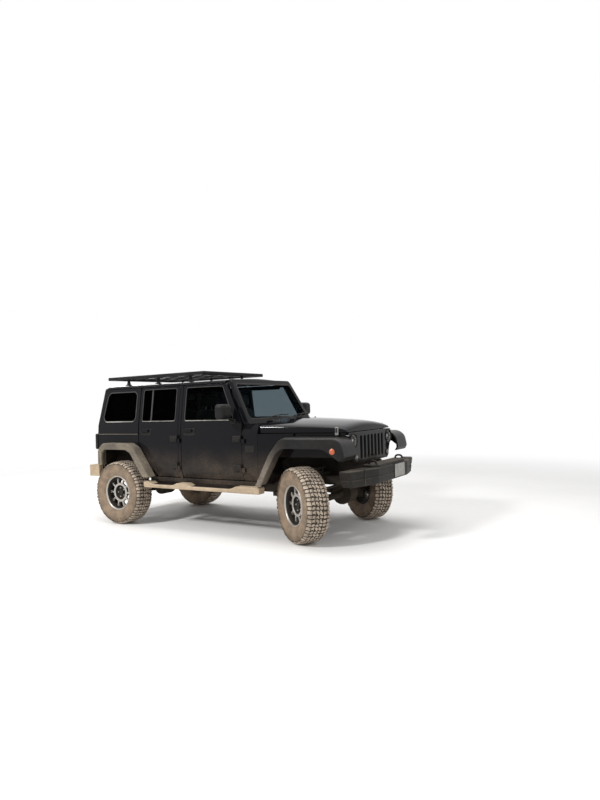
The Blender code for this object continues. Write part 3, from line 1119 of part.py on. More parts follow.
def engine():
    rear_x, front_x = FRONT_AXLE_X - ENGINE_REAR_BACK, FRONT_AXLE_X + ENGINE_FRONT_AHEAD
    block = box((rear_x, -ENGINE_HALF, ENGINE_LOW_Z), (front_x, ENGINE_HALF, ENGINE_TOP_Z),
                "engine_block", "chassis_black")
    radiator = box((front_x - CUT_OVERRUN, -RADIATOR_HALF, RADIATOR_LOW_Z),
                   (NOSE_X, RADIATOR_HALF, ENGINE_TOP_Z - CUT_OVERRUN), "radiator")
    box_top = FLOOR_LOW_Z - SEAM_GAP
    gearbox = box((rear_x - GEARBOX_LENGTH, -GEARBOX_HALF, GEARBOX_LOW_Z),
                  (rear_x + CUT_OVERRUN, GEARBOX_HALF, box_top), "gearbox")
    bell = box((rear_x - CUT_OVERRUN / 2, -GEARBOX_HALF * 3 / 4, box_top - CUT_OVERRUN),
               (rear_x + CUT_OVERRUN, GEARBOX_HALF * 3 / 4, ENGINE_LOW_Z + CUT_OVERRUN), "bell_housing")
    transfer_x = rear_x - GEARBOX_LENGTH + TRANSFER_LENGTH
    transfer = box((rear_x - GEARBOX_LENGTH + CUT_OVERRUN, 0, GEARBOX_LOW_Z + CUT_OVERRUN / 5),
                   (transfer_x, FRONT_DIFF_Y + SHAFT_RADIUS * 2, box_top - CUT_OVERRUN / 5), "transfer_case")
    shaft_z = (GEARBOX_LOW_Z + box_top) / 2
    reach = DIFF_RADIUS + AXLE_RADIUS + FIT_GAP
    front_shaft = rod((transfer_x - CUT_OVERRUN, FRONT_DIFF_Y, shaft_z),
                      (FRONT_AXLE_X - reach - SHAFT_RADIUS, FRONT_DIFF_Y, AXLE_Z + SHAFT_RADIUS / 2),
                      SHAFT_RADIUS, "front_shaft")
    rear_shaft = rod((rear_x - GEARBOX_LENGTH + CUT_OVERRUN, 0, shaft_z - SHAFT_RADIUS / 2),
                     (REAR_AXLE_X + reach + SHAFT_RADIUS, 0, AXLE_Z + SHAFT_RADIUS / 2), SHAFT_RADIUS, "rear_shaft")
    unite(block, radiator, gearbox, bell, transfer, front_shaft, rear_shaft)
    arm_x = FRONT_AXLE_X + ENGINE_ARM_AHEAD
    for side, label in ((1, "left"), (-1, "right")):
        unite(block, side_box((arm_x - ENGINE_ARM_WIDTH / 2, arm_x + ENGINE_ARM_WIDTH / 2),
                              (ENGINE_HALF - CUT_OVERRUN, RAIL_OUTER - RAIL_WIDTH / 2),
                              (RAIL_END_TOP_Z + FIT_GAP, RAIL_END_TOP_Z + ENGINE_ARM_WIDTH / 2), side,
                              f"engine_arm_{label}"))


# Bumpers and side steps
BUMPER_LOW_Z = 0.655
BUMPER_TOP_Z = 0.835
BUMPER_REAR_AHEAD = 0.5553
BUMPER_END_HALF = 0.940
BUMPER_END_FRONT_AHEAD = 0.640
BUMPER_END_REAR_AHEAD = 0.500
BUMPER_SHOULDER_HALF = 0.640
BUMPER_FLAT_HALF = 0.430
BUMPER_CHAMFER = 0.022
STEP_OUTER = 0.920
STEP_INNER = 0.790
STEP_LOW_Z = 0.530
STEP_TOP_Z = 0.610
STEP_DIP = 0.030
STEP_FRONT_BACK = 0.545
STEP_REAR_AHEAD = 0.515
STEP_DIP_SHARES = ((0.00, 0.00), (0.03, 0.00), (0.10, 1.00), (0.27, 1.00), (0.33, 0.00), (0.38, 0.00),
                   (0.44, 1.00), (0.77, 1.00), (0.83, 0.00), (1.00, 0.00))
BRACKET_WIDTH = 0.060
REAR_BUMPER_DEPTH = 0.110
REAR_BUMPER_LOW_Z = 0.635
REAR_BUMPER_TOP_Z = 0.795
REAR_BUMPER_HALF = 0.855
REAR_BUMPER_WRAP = 0.090


def bumpers():
    flat = FRONT_AXLE_X + FRONT_OVERHANG
    plan_half = [(flat, 0), (flat, BUMPER_FLAT_HALF),
                 (flat - BUMPER_CHAMFER * 2, BUMPER_SHOULDER_HALF),
                 (FRONT_AXLE_X + BUMPER_END_FRONT_AHEAD, BUMPER_END_HALF),
                 (FRONT_AXLE_X + BUMPER_END_REAR_AHEAD, BUMPER_END_HALF - BUMPER_CHAMFER),
                 (FRONT_AXLE_X + BUMPER_END_REAR_AHEAD + BUMPER_CHAMFER, BUMPER_SHOULDER_HALF),
                 (FRONT_AXLE_X + BUMPER_REAR_AHEAD, BUMPER_FLAT_HALF + BUMPER_CHAMFER),
                 (FRONT_AXLE_X + BUMPER_REAR_AHEAD, 0)]
    plan = plan_half[1:-1] + [(x, -y) for x, y in reversed(plan_half[1:-1])]
    slim = inset(plan, BUMPER_CHAMFER)
    levels = ((slim, BUMPER_LOW_Z), (plan, BUMPER_LOW_Z + BUMPER_CHAMFER), (plan, BUMPER_TOP_Z - BUMPER_CHAMFER),
              (slim, BUMPER_TOP_Z))
    loft([[(x, y, z) for x, y in outline] for outline, z in levels], "front_bumper", "dark_plastic")
    rear_face = TUB_REAR_X - FIT_GAP
    rear = box((rear_face - REAR_BUMPER_DEPTH, -REAR_BUMPER_HALF, REAR_BUMPER_LOW_Z),
               (rear_face, REAR_BUMPER_HALF, REAR_BUMPER_TOP_Z), "rear_bumper", "dusty_plastic")
    for side, label in ((1, "left"), (-1, "right")):
        unite(rear, side_box((rear_face - CUT_OVERRUN, rear_face + REAR_BUMPER_WRAP),
                             (BODY_HALF + SEAM_GAP, REAR_BUMPER_HALF - FIT_GAP),
                             (REAR_BUMPER_LOW_Z + FIT_GAP, REAR_BUMPER_TOP_Z - FIT_GAP), side, f"wrap_{label}"))
        unite(rear, side_box((rear_face - CUT_OVERRUN, TUB_REAR_X + TUB_WALL - FIT_GAP),
                             (RAIL_OUTER - RAIL_WIDTH * 5 / 6, RAIL_OUTER - RAIL_WIDTH / 6),
                             (RAIL_END_TOP_Z - RAIL_HEIGHT * 5 / 6, RAIL_END_TOP_Z - RAIL_HEIGHT / 6), side,
                             f"bumper_stay_{label}"))


def side_steps():
    front_x, rear_x = FRONT_AXLE_X - STEP_FRONT_BACK, REAR_AXLE_X + STEP_REAR_AHEAD
    top = [(rear_x + (front_x - rear_x) * run, STEP_TOP_Z - STEP_DIP * dip) for run, dip in STEP_DIP_SHARES]
    outline = top + [(front_x, STEP_LOW_Z), (rear_x, STEP_LOW_Z)]
    for side, label in ((1, "left"), (-1, "right")):
        reach = sorted((side * STEP_INNER, side * STEP_OUTER))
        step = prism(outline, "Y", *reach, f"side_step_{label}", "dusty_plastic")
        for index, share in enumerate((1 / 6, 5 / 6)):
            x = rear_x + (front_x - rear_x) * share
            unite(step, side_box((x - BRACKET_WIDTH / 2, x + BRACKET_WIDTH / 2),
                                 (RAIL_OUTER + FIT_GAP, STEP_INNER + CUT_OVERRUN),
                                 (STEP_LOW_Z + FIT_GAP, STEP_LOW_Z + BRACKET_WIDTH / 2), side,
                                 f"step_bracket_{index}_{label}"))


# Roof rack
RACK_LOW_Z = 2.005
RACK_HEIGHT = 0.036
RACK_HALF = 0.670
RACK_FRONT_BACK = 1.545
RACK_REAR_BEHIND = 0.425
RACK_EDGE = 0.045
RACK_PLANKS = 5
RACK_PLANK_WIDTH = 0.050
RACK_BARS = 5
RACK_BAR_WIDTH = 0.040
RACK_FOOT_Y = 0.560
RACK_FOOT_WIDTH = 0.050


def roof_rack():
    front_x, rear_x = FRONT_AXLE_X - RACK_FRONT_BACK, REAR_AXLE_X - RACK_REAR_BEHIND
    top_z = RACK_LOW_Z + RACK_HEIGHT
    deck = box((rear_x, -RACK_HALF, RACK_LOW_Z), (front_x, RACK_HALF, top_z), "roof_rack", "powder_black")
    pitch_x = (front_x - rear_x - RACK_EDGE) / (RACK_BARS + 1)
    pitch_y = (2 * RACK_HALF - RACK_EDGE) / (RACK_PLANKS + 1)
    form = bmesh.new()
    for column_index in range(RACK_BARS + 1):
        for row in range(RACK_PLANKS + 1):
            x = rear_x + RACK_EDGE / 2 + pitch_x * (column_index + 1 / 2)
            y = -RACK_HALF + RACK_EDGE / 2 + pitch_y * (row + 1 / 2)
            size = (pitch_x - RACK_BAR_WIDTH, pitch_y - RACK_PLANK_WIDTH, 2 * RACK_HEIGHT)
            bmesh.ops.create_cube(form, size=1, matrix=Matrix.Translation((x, y, RACK_LOW_Z + RACK_HEIGHT / 2))
                                  @ Matrix.Diagonal((*size, 1)))
    cut(deck, store(mesh_from(form), "rack_gaps"))
    foot_low = roof_z(RACK_FOOT_Y - RACK_FOOT_WIDTH / 2) + FIT_GAP
    for side, label in ((1, "left"), (-1, "right")):
        for index in range(3):
            x = rear_x + RACK_EDGE / 2 + pitch_x * (1 + index * (RACK_BARS - 1) / 2)
            unite(deck, side_box((x - RACK_FOOT_WIDTH / 2, x + RACK_FOOT_WIDTH / 2),
                                 (RACK_FOOT_Y - RACK_FOOT_WIDTH / 2, RACK_FOOT_Y + RACK_FOOT_WIDTH / 2),
                                 (foot_low, RACK_LOW_Z + RACK_HEIGHT / 3), side, f"rack_foot_{index}_{label}"))


def roof_z(y):
    """Height of the roof skin between its shoulder and its edge."""
    share = (y - ROOF_SHOULDER_HALF) / (ROOF_EDGE_HALF - ROOF_SHOULDER_HALF)
    return ROOF_SHOULDER_Z + (ROOF_EDGE_Z - ROOF_SHOULDER_Z) * share


# Tailgate, tail lamps and spare wheel
TAILGATE_LOW_Z = 0.808
TAILGATE_WALL = 0.055
SPARE_Z = 1.120
SPARE_GAP = 0.115
CARRIER_RADIUS = 0.095
TAIL_LAMP_INNER = 0.662
TAIL_LAMP_OUTER = 0.800
TAIL_LAMP_LOW_Z = 1.010
TAIL_LAMP_TOP_Z = 1.240
TAIL_LAMP_DEPTH = 0.055
TAILGATE_HINGE_UPPER_Z = 1.240
TAILGATE_HINGE_LOWER_Z = 0.920


def tailgate():
    gate = box((TUB_REAR_X, -TAILGATE_HALF, TAILGATE_LOW_Z), (TUB_REAR_X + TAILGATE_WALL, TAILGATE_HALF,
               BELT_Z - SEAM_GAP), "tailgate", "black_paint")
    axis_x = TUB_REAR_X - HINGE_OUTBOARD
    axis_y = -TAILGATE_HALF
    for label, z in (("upper", TAILGATE_HINGE_UPPER_Z), ("lower", TAILGATE_HINGE_LOWER_Z)):
        barrel = rod((axis_x, axis_y, z), (axis_x, axis_y, z + HINGE_HEIGHT), HINGE_RADIUS, f"gate_barrel_{label}")
        strap = box((TUB_REAR_X - LEAF_WALL, axis_y + HINGE_RADIUS, z - LEAF_HEIGHT / 2),
                    (TUB_REAR_X + LEAF_WALL, axis_y + HINGE_LEAF * 2, z + LEAF_HEIGHT / 2), f"gate_strap_{label}")
        web = box((axis_x, axis_y, z + FIT_GAP * 2), (TUB_REAR_X - LEAF_WALL / 2, axis_y + HINGE_RADIUS * 2,
                  z + LEAF_HEIGHT / 2 - FIT_GAP), f"gate_web_{label}")
        unite(gate, barrel, strap, web)
    spare_centre_x = TUB_REAR_X - SPARE_GAP - TYRE_WIDTH / 2
    back = spare_centre_x - SPOKE_FACE_OFFSET + HUB_DEPTH + FIT_GAP
    carrier = rod((back, 0, SPARE_Z), (TUB_REAR_X + LEAF_WALL, 0, SPARE_Z), CARRIER_RADIUS * 2 / 3,
                  "spare_carrier", sides=16)
    foot = rod((TUB_REAR_X - LEAF_WALL, 0, SPARE_Z), (TUB_REAR_X + LEAF_WALL / 2, 0, SPARE_Z), CARRIER_RADIUS * 3 / 2,
               "spare_foot", sides=16)
    unite(gate, carrier, foot)
    placement = Matrix.Translation((spare_centre_x, 0, SPARE_Z)) @ Matrix.Rotation(-math.pi / 2, 4, "Y")
    wheel("spare", placement)


def tail_lamps():
    for side, label in ((1, "left"), (-1, "right")):
        side_box((TUB_REAR_X - FIT_GAP - TAIL_LAMP_DEPTH, TUB_REAR_X - FIT_GAP), (TAIL_LAMP_INNER, TAIL_LAMP_OUTER),
                 (TAIL_LAMP_LOW_Z, TAIL_LAMP_TOP_Z), side, f"tail_lamp_{label}", "red_lens")


def tailgate_knuckles(base):
    axis_x = TUB_REAR_X - HINGE_OUTBOARD
    axis_y = -TAILGATE_HALF
    for label, z in (("upper", TAILGATE_HINGE_UPPER_Z), ("lower", TAILGATE_HINGE_LOWER_Z)):
        low, top = z - HINGE_HEIGHT, z - 2 * FIT_GAP
        knuckle = rod((axis_x, axis_y, low), (axis_x, axis_y, top), HINGE_RADIUS, f"gate_knuckle_{label}")
        leaf = box((axis_x, axis_y - HINGE_RADIUS * 3, low), (axis_x + HINGE_RADIUS, axis_y, top), f"gate_leaf_{label}")
        foot = box((axis_x, axis_y - HINGE_RADIUS * 3, low), (TUB_REAR_X + TUB_WALL / 2, axis_y - HINGE_RADIUS, top),
                   f"gate_foot_{label}")
        unite(base, knuckle, leaf, foot)


# Cabin
SEAT_WIDTH = 0.480
SEAT_Y = 0.370
FRONT_SEAT_FRONT_BACK = 1.230
FRONT_SEAT_DEPTH = 0.500
SEAT_CUSHION_LOW_Z = 0.860
SEAT_CUSHION_TOP_Z = 1.010
SEAT_BACK_TOP_Z = 1.540
SEAT_BACK_DEPTH = 0.130
HEADREST_TOP_Z = 1.740
HEADREST_HALF = 0.130
REAR_SEAT_FRONT_BACK = 2.180
REAR_SEAT_HALF = 0.520
REAR_SEAT_DEPTH = 0.460
SEAT_BASE_HALF = 0.170
FLOOR_TOP_Z = FLOOR_LOW_Z + FLOOR_WALL


def seat(name, front_x, depth, y_range, base_half, base_rear_x):
    """Cushion, back and headrests as simple solids on a base."""
    low, high = y_range
    cushion = box((front_x - depth, low, SEAT_CUSHION_LOW_Z), (front_x, high, SEAT_CUSHION_TOP_Z), name, "seat_fabric")
    back = box((front_x - depth - SEAT_BACK_DEPTH / 2, low + FIT_GAP, SEAT_CUSHION_LOW_Z + FIT_GAP),
               (front_x - depth + SEAT_BACK_DEPTH / 2, high - FIT_GAP, SEAT_BACK_TOP_Z), name + "_back")
    middle = (low + high) / 2
    base = box((base_rear_x, middle - base_half, FLOOR_TOP_Z + FIT_GAP),
               (front_x - depth / 5, middle + base_half, SEAT_CUSHION_LOW_Z + CUT_OVERRUN), name + "_base")
    unite(cushion, back, base)
    count = 1 if high - low < 2 * SEAT_WIDTH else 2
    for index in range(count):
        y = low + (high - low) * (index + 1 / 2) / count
        unite(cushion, box((front_x - depth - SEAT_BACK_DEPTH / 3, y - HEADREST_HALF, SEAT_BACK_TOP_Z - CUT_OVERRUN),
                           (front_x - depth + SEAT_BACK_DEPTH / 3, y + HEADREST_HALF, HEADREST_TOP_Z),
                           f"{name}_headrest_{index}"))


def seats():
    front_x = FRONT_AXLE_X - FRONT_SEAT_FRONT_BACK
    for side, label in ((1, "left"), (-1, "right")):
        reach = sorted((side * SEAT_Y - SEAT_WIDTH / 2, side * SEAT_Y + SEAT_WIDTH / 2))
        seat(f"seat_front_{label}", front_x, FRONT_SEAT_DEPTH, reach, SEAT_BASE_HALF,
             front_x - FRONT_SEAT_DEPTH * 4 / 5)
    seat("seat_rear", FRONT_AXLE_X - REAR_SEAT_FRONT_BACK, REAR_SEAT_DEPTH, (-REAR_SEAT_HALF, REAR_SEAT_HALF),
         SEAT_BASE_HALF * 2, RISER_X + FIT_GAP)


DASH_HALF = 0.700
DASH_LOW_Z = 1.020
DASH_TOP_Z = 1.300
DASH_DEPTH = 0.240
STEERING_Y = 0.370
STEERING_RADIUS = 0.185
STEERING_TUBE = 0.015
STEERING_BEHIND = 0.180
STEERING_Z = 1.190
STEERING_LEAN = math.radians(62.0)
CONSOLE_HALF = 0.110
CONSOLE_TOP_Z = 0.940
CONSOLE_LENGTH = 1.000


def torus_ring(centre, lean, ring_radius, tube_radius, name, sides=15, tube_sides=5):
    form = bmesh.new()
    rings = []
    turn = Matrix.Translation(centre) @ Matrix.Rotation(lean, 4, "Y")
    for step in range(sides):
        angle = 2 * math.pi * step / sides
        ring = []
        for point in range(tube_sides):
            around = 2 * math.pi * point / tube_sides
            radius = ring_radius + tube_radius * math.cos(around)
            ring.append(form.verts.new(turn @ Vector((radius * math.cos(angle), radius * math.sin(angle),
                                                      tube_radius * math.sin(around)))))
        rings.append(ring)
    for step in range(sides):
        here, there = rings[step], rings[(step + 1) % sides]
        for point in range(tube_sides):
            after = (point + 1) % tube_sides
            form.faces.new((here[point], there[point], there[after], here[after]))
    return store(mesh_from(form), name)


def dashboard():
    front_x = FIREWALL_X - FIREWALL_WALL - FIT_GAP
    outline = [(front_x, DASH_LOW_Z), (front_x, DASH_TOP_Z), (front_x - DASH_DEPTH * 3 / 4, DASH_TOP_Z),
               (front_x - DASH_DEPTH, DASH_TOP_Z - CUT_OVERRUN), (front_x - DASH_DEPTH, DASH_LOW_Z + CUT_OVERRUN * 2),
               (front_x - DASH_DEPTH * 3 / 4, DASH_LOW_Z)]
    dash = prism(outline, "Y", -DASH_HALF, DASH_HALF, "dashboard", "cabin_plastic")
    wheel_x = front_x - DASH_DEPTH - STEERING_BEHIND
    centre = Vector((wheel_x, STEERING_Y, STEERING_Z))
    ring = torus_ring(centre, -STEERING_LEAN, STEERING_RADIUS, STEERING_TUBE, "steering_ring")
    axis = Matrix.Rotation(-STEERING_LEAN, 3, "Y") @ Vector((0, 0, 1))
    across = Matrix.Rotation(-STEERING_LEAN, 3, "Y") @ Vector((1, 0, 0))
    column_rod = rod(centre + axis * STEERING_TUBE, centre - axis * (STEERING_BEHIND + DASH_DEPTH / 2),
                     STEERING_TUBE * 2, "steering_column")
    spokes = [rod(centre - Vector((0, STEERING_RADIUS, 0)), centre + Vector((0, STEERING_RADIUS, 0)),
                  STEERING_TUBE * 4 / 5, "steering_bar", sides=8),
              rod(centre, centre - across * STEERING_RADIUS, STEERING_TUBE * 4 / 5, "steering_spoke", sides=8)]
    console = box((front_x - CONSOLE_LENGTH, -CONSOLE_HALF, FLOOR_TOP_Z + FIT_GAP),
                  (front_x, CONSOLE_HALF, CONSOLE_TOP_Z), "console")
    riser_box = box((front_x - DASH_DEPTH / 2, -CONSOLE_HALF * 3 / 4, CONSOLE_TOP_Z - CUT_OVERRUN),
                    (front_x - FIT_GAP, CONSOLE_HALF * 3 / 4, DASH_LOW_Z + CUT_OVERRUN), "console_riser")
    unite(dash, riser_box, console, column_rod, ring, *spokes)


BAR_RADIUS = 0.030
BAR_LEG_RADIUS = 0.027
BAR_RAIL_RADIUS = 0.024
BAR_CLEARANCE = 0.100
BAR_HALF_TOP = DRIP_HALF - BAR_CLEARANCE
BAR_TOP_Z = 1.815
BAR_B_BEHIND = 0.110
BAR_C_AHEAD = 0.120


def sport_bar():
    """Two hoops over the seats, joined by rails along the roof."""
    hoop_x = (B_PILLAR_X - BAR_B_BEHIND, REAR_AXLE_X + BAR_C_AHEAD)
    foot_z = (FLOOR_TOP_Z + FIT_GAP, REAR_ARCH_TOP_Z - REAR_ARCH_BAND + WHEELHOUSE_WALL + FIT_GAP)
    front_x = FRONT_AXLE_X - SCREEN_TOP_BACK - SCREEN_FRAME_WALL - BAR_RADIUS * 2
    reach = BAR_HALF_TOP + BAR_RADIUS
    base = rod((hoop_x[0], -reach, BAR_TOP_Z), (hoop_x[0], reach, BAR_TOP_Z), BAR_RADIUS, "sport_bar",
               "powder_black", 10)
    unite(base, rod((hoop_x[1], -reach, BAR_TOP_Z), (hoop_x[1], reach, BAR_TOP_Z), BAR_RADIUS, "bar_rear", sides=10))
    for side, label in ((1, "left"), (-1, "right")):
        for index, x in enumerate(hoop_x):
            unite(base, rod((x, side * BAR_HALF_TOP, foot_z[index]), (x, side * BAR_HALF_TOP, BAR_TOP_Z),
                            BAR_LEG_RADIUS, f"bar_leg_{index}_{label}", sides=8))
        rail_z = BAR_TOP_Z + BAR_RADIUS - BAR_RAIL_RADIUS
        unite(base, rod((front_x, side * BAR_HALF_TOP, rail_z), (hoop_x[1] - BAR_RADIUS * 3 / 2,
                        side * BAR_HALF_TOP, rail_z), BAR_RAIL_RADIUS, f"bar_rail_{label}", sides=8))


def main():
    clear_scene()
    add_materials()
    tub()
    body = bpy.data.objects["body_tub"]
    tailgate_knuckles(body)
    front_flares(body)
    rear_flares()
    doors()
    hard_top()
    windscreen()
    bonnet()
    bonnet_seats(body)
    grille()
    wheels()
    knuckles()
    chassis()
    axles()
    engine()
    bumpers()
    side_steps()
    roof_rack()
    tailgate()
    tail_lamps()
    seats()
    dashboard()
    sport_bar()


main()
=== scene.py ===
"""Looks of the lifted off-road 4x4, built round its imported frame.

Frame: +X forward, +Y left, +Z up, in metres, with the ground at z = 0.
Pieces are made in that frame. Wheels are made round their own axis and then
placed, and each piece rides on one of the frame's bodies.
"""
import json
import math

import bmesh
import bpy
from mathutils import Matrix, Vector

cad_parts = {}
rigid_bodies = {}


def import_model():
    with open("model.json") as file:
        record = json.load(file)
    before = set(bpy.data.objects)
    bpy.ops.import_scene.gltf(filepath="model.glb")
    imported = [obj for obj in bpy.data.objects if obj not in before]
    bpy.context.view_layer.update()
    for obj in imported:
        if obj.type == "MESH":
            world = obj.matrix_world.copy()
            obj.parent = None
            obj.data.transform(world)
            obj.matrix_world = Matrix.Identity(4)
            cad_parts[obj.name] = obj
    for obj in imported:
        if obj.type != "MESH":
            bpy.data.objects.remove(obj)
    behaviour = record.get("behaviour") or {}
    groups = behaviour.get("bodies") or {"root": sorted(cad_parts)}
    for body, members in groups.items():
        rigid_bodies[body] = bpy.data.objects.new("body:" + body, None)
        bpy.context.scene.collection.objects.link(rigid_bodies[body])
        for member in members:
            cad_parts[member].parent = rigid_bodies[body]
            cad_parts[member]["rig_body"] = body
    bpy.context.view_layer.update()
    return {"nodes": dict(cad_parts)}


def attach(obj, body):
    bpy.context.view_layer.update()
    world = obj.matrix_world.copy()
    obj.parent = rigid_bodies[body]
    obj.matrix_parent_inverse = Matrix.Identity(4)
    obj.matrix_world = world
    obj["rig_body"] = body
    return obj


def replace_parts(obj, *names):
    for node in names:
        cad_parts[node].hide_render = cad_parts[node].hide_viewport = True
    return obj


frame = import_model()
NODES = frame["nodes"]
SIDES = ((1, "left"), (-1, "right"))

# Stations and levels of the body, in metres
FRONT_AXLE = 1.555
REAR_AXLE = -1.392
AXLE_Z = 0.4283
TUB_REAR = -1.915
QUARTER_FRONT = -1.092
SEAM = 1.234
COWL_FRONT = 0.915
NOSE = 1.995
DOOR_LOW = 0.665
TUCK = 0.780
BELT = 1.358
DOOR_TOP = 1.862
SCREEN_TOP = 1.935
SILL_HALF = 0.750
BODY_HALF = 0.785
BELT_HALF = 0.776
DRIP_HALF = 0.702
FLARE_HALF = 0.925
DOOR_WALL = 0.075
FRAME_WALL = 0.045
WINDOW_LOW = 1.403
WINDOW_TOP = 1.830


# Materials
DUST = (0.125, 0.094, 0.068)
PALE_DUST = (0.345, 0.250, 0.168)
GREY_DUST = (0.190, 0.160, 0.128)
LUG_DUST = (0.50, 0.415, 0.33)
# Dusty rubber that stays dark in the grooves, as painted shade there.
SHADED_GROOVE = (0.048, 0.037, 0.028)
NO_FOOT = (-1.0, -0.9, 0.0)
MIX_COLOURS = (6, 7)
MIX_RESULT = 2
GLASS_SHARE = 0.97


class Shader:
    """A material's node tree, built step by step."""

    def __init__(self, name):
        self.material = bpy.data.materials.new(name)
        self.material.use_nodes = True
        self.tree = self.material.node_tree
        self.surface = self.tree.nodes["Principled BSDF"]
        self.place = self.add("ShaderNodeTexCoord").outputs["Object"]
        self.normal = self.add("ShaderNodeTexCoord").outputs["Normal"]

    def add(self, kind, **settings):
        node = self.tree.nodes.new(kind)
        for key, value in settings.items():
            setattr(node, key, value)
        return node

    def link(self, source, target):
        if isinstance(source, (int, float)):
            target.default_value = source
        elif isinstance(source, tuple):
            target.default_value = (*source, 1.0) if len(source) == 3 else source
        else:
            self.tree.links.new(source, target)

    def math(self, operation, first, second, clamp=False):
        node = self.add("ShaderNodeMath", operation=operation, use_clamp=clamp)
        self.link(first, node.inputs[0])
        self.link(second, node.inputs[1])
        return node.outputs[0]

    def noise(self, scale, detail, stretch=None):
        node = self.add("ShaderNodeTexNoise")
        for key, number in (("Scale", scale), ("Detail", detail), ("Roughness", 0.55)):
            node.inputs[key].default_value = number
        place = self.place
        if stretch:
            mapping = self.add("ShaderNodeMapping")
            mapping.inputs["Scale"].default_value = stretch
            self.link(place, mapping.inputs["Vector"])
            place = mapping.outputs[0]
        self.link(place, node.inputs["Vector"])
        return node.outputs[0]

    def ramp(self, value, low, high, start=0.0, end=1.0):
        node = self.add("ShaderNodeMapRange", interpolation_type="SMOOTHSTEP")
        for key, number in (("From Min", low), ("From Max", high), ("To Min", start), ("To Max", end)):
            node.inputs[key].default_value = number
        self.link(value, node.inputs["Value"])
        return node.outputs[0]

    def mix(self, share, first, second):
        node = self.add("ShaderNodeMix", data_type="RGBA")
        self.link(share, node.inputs["Factor"])
        for value, socket in zip((first, second), MIX_COLOURS):
            self.link(value, node.inputs[socket])
        return node.outputs[MIX_RESULT]

    def axis(self, vector, letter):
        node = self.add("ShaderNodeSeparateXYZ")
        self.link(vector, node.inputs[0])
        return node.outputs["XYZ".index(letter)]

    def length(self, vector):
        node = self.add("ShaderNodeVectorMath", operation="LENGTH")
        self.link(vector, node.inputs[0])
        return node.outputs["Value"]

    def bump(self, height, strength, distance):
        node = self.add("ShaderNodeBump")
        node.inputs["Strength"].default_value = strength
        node.inputs["Distance"].default_value = distance
        self.link(height, node.inputs["Height"])
        self.link(node.outputs[0], self.surface.inputs["Normal"])

    def put(self, **values):
        for key, value in values.items():
            self.link(value, self.surface.inputs[key.replace("_", " ")])

    def blend_with(self, share, other):
        """Mix the surface with another shader node and send both to the output."""
        node = self.add("ShaderNodeMixShader")
        for value, socket in zip((share, self.surface.outputs[0], other.outputs[0]), node.inputs):
            self.link(value, socket)
        self.link(node.outputs[0], self.tree.nodes["Material Output"].inputs["Surface"])


def dust_and_lit_top_share(shader, low_z, high_z, low_amount, everywhere, top_dust_and_light, behind=None):
    """Share of dust on a point, more low down and in patches; faces that look up add dust and painted light."""
    height = shader.ramp(shader.axis(shader.place, "Z"), low_z, high_z, low_amount, 0.0)
    if behind:
        rearward = shader.ramp(shader.axis(shader.place, "X"), *behind, 1.0, 0.0)
        height = shader.math("MULTIPLY", height, rearward)
    # Faces that look up pale: dust settles there, and the same paling paints the light on lit tops.
    up = shader.ramp(shader.axis(shader.normal, "Z"), 0.35, 0.95, 0.0, top_dust_and_light)
    patches = shader.ramp(shader.noise(3.2, 6.0), 0.30, 0.72, 0.35, 1.25)
    fine = shader.ramp(shader.noise(42.0, 5.0), 0.30, 0.70, 0.70, 1.15)
    total = shader.math("ADD", shader.math("ADD", height, up), everywhere)
    return shader.math("MULTIPLY", shader.math("MULTIPLY", total, patches), fine, clamp=True)


def paint(name, colour):
    """Gloss paint under a film of dust, with a faint orange peel."""
    shader = Shader(name)
    share = dust_and_lit_top_share(shader, 0.64, 1.12, 0.42, everywhere=0.008, top_dust_and_light=0.02)
    shader.put(Base_Color=shader.mix(share, colour, DUST),
               Roughness=shader.ramp(share, 0.0, 0.7, 0.08, 0.75),
               Coat_Weight=shader.ramp(share, 0.0, 0.5, 0.08, 0.0),
               Coat_Roughness=0.03, Specular_IOR_Level=0.08)
    peel = shader.math("ADD", shader.noise(160.0, 3.0), shader.math("MULTIPLY", share, 0.6))
    shader.bump(peel, 0.03, 0.0006)
    return shader.material


def plastic(name, colour, roughness, everywhere, top_dust_and_light, grain=900.0, depth=0.25, dust=(0.45, 1.3, 0.45),
            dust_colour=DUST, metallic=0.0, behind=None):
    """Textured plastic or satin metal with fine grain, wear, dust, and painted light on faces that look up."""
    shader = Shader(name)
    share = dust_and_lit_top_share(shader, *dust, everywhere, top_dust_and_light, behind)
    wear = shader.ramp(shader.noise(11.0, 5.0), 0.35, 0.75, 0.85, 1.2)
    lit = shader.add("ShaderNodeVectorMath", operation="SCALE")
    lit.inputs[0].default_value = colour
    shader.link(wear, lit.inputs["Scale"])
    shader.put(Base_Color=shader.mix(share, lit.outputs[0], dust_colour),
               Roughness=shader.ramp(share, 0.0, 0.8, roughness, 0.90),
               Metallic=metallic, Specular_IOR_Level=0.11)
    shader.bump(shader.noise(grain, 2.0), depth, 0.0004)
    return shader.material


def brushed(name, colour, roughness, everywhere, dust_colour=DUST):
    """Bare or machined metal with streaks and dust in patches."""
    shader = Shader(name)
    share = dust_and_lit_top_share(shader, *NO_FOOT, everywhere, top_dust_and_light=0.05)
    streaks = shader.noise(90.0, 3.0, stretch=(1.0, 1.0, 14.0))
    shader.put(Base_Color=shader.mix(share, colour, dust_colour),
               Metallic=shader.ramp(share, 0.0, 0.6, 0.9, 0.1),
               Roughness=shader.math("ADD", shader.math("MULTIPLY", streaks, 0.18), roughness - 0.05))
    shader.bump(streaks, 0.05, 0.0003)
    return shader.material


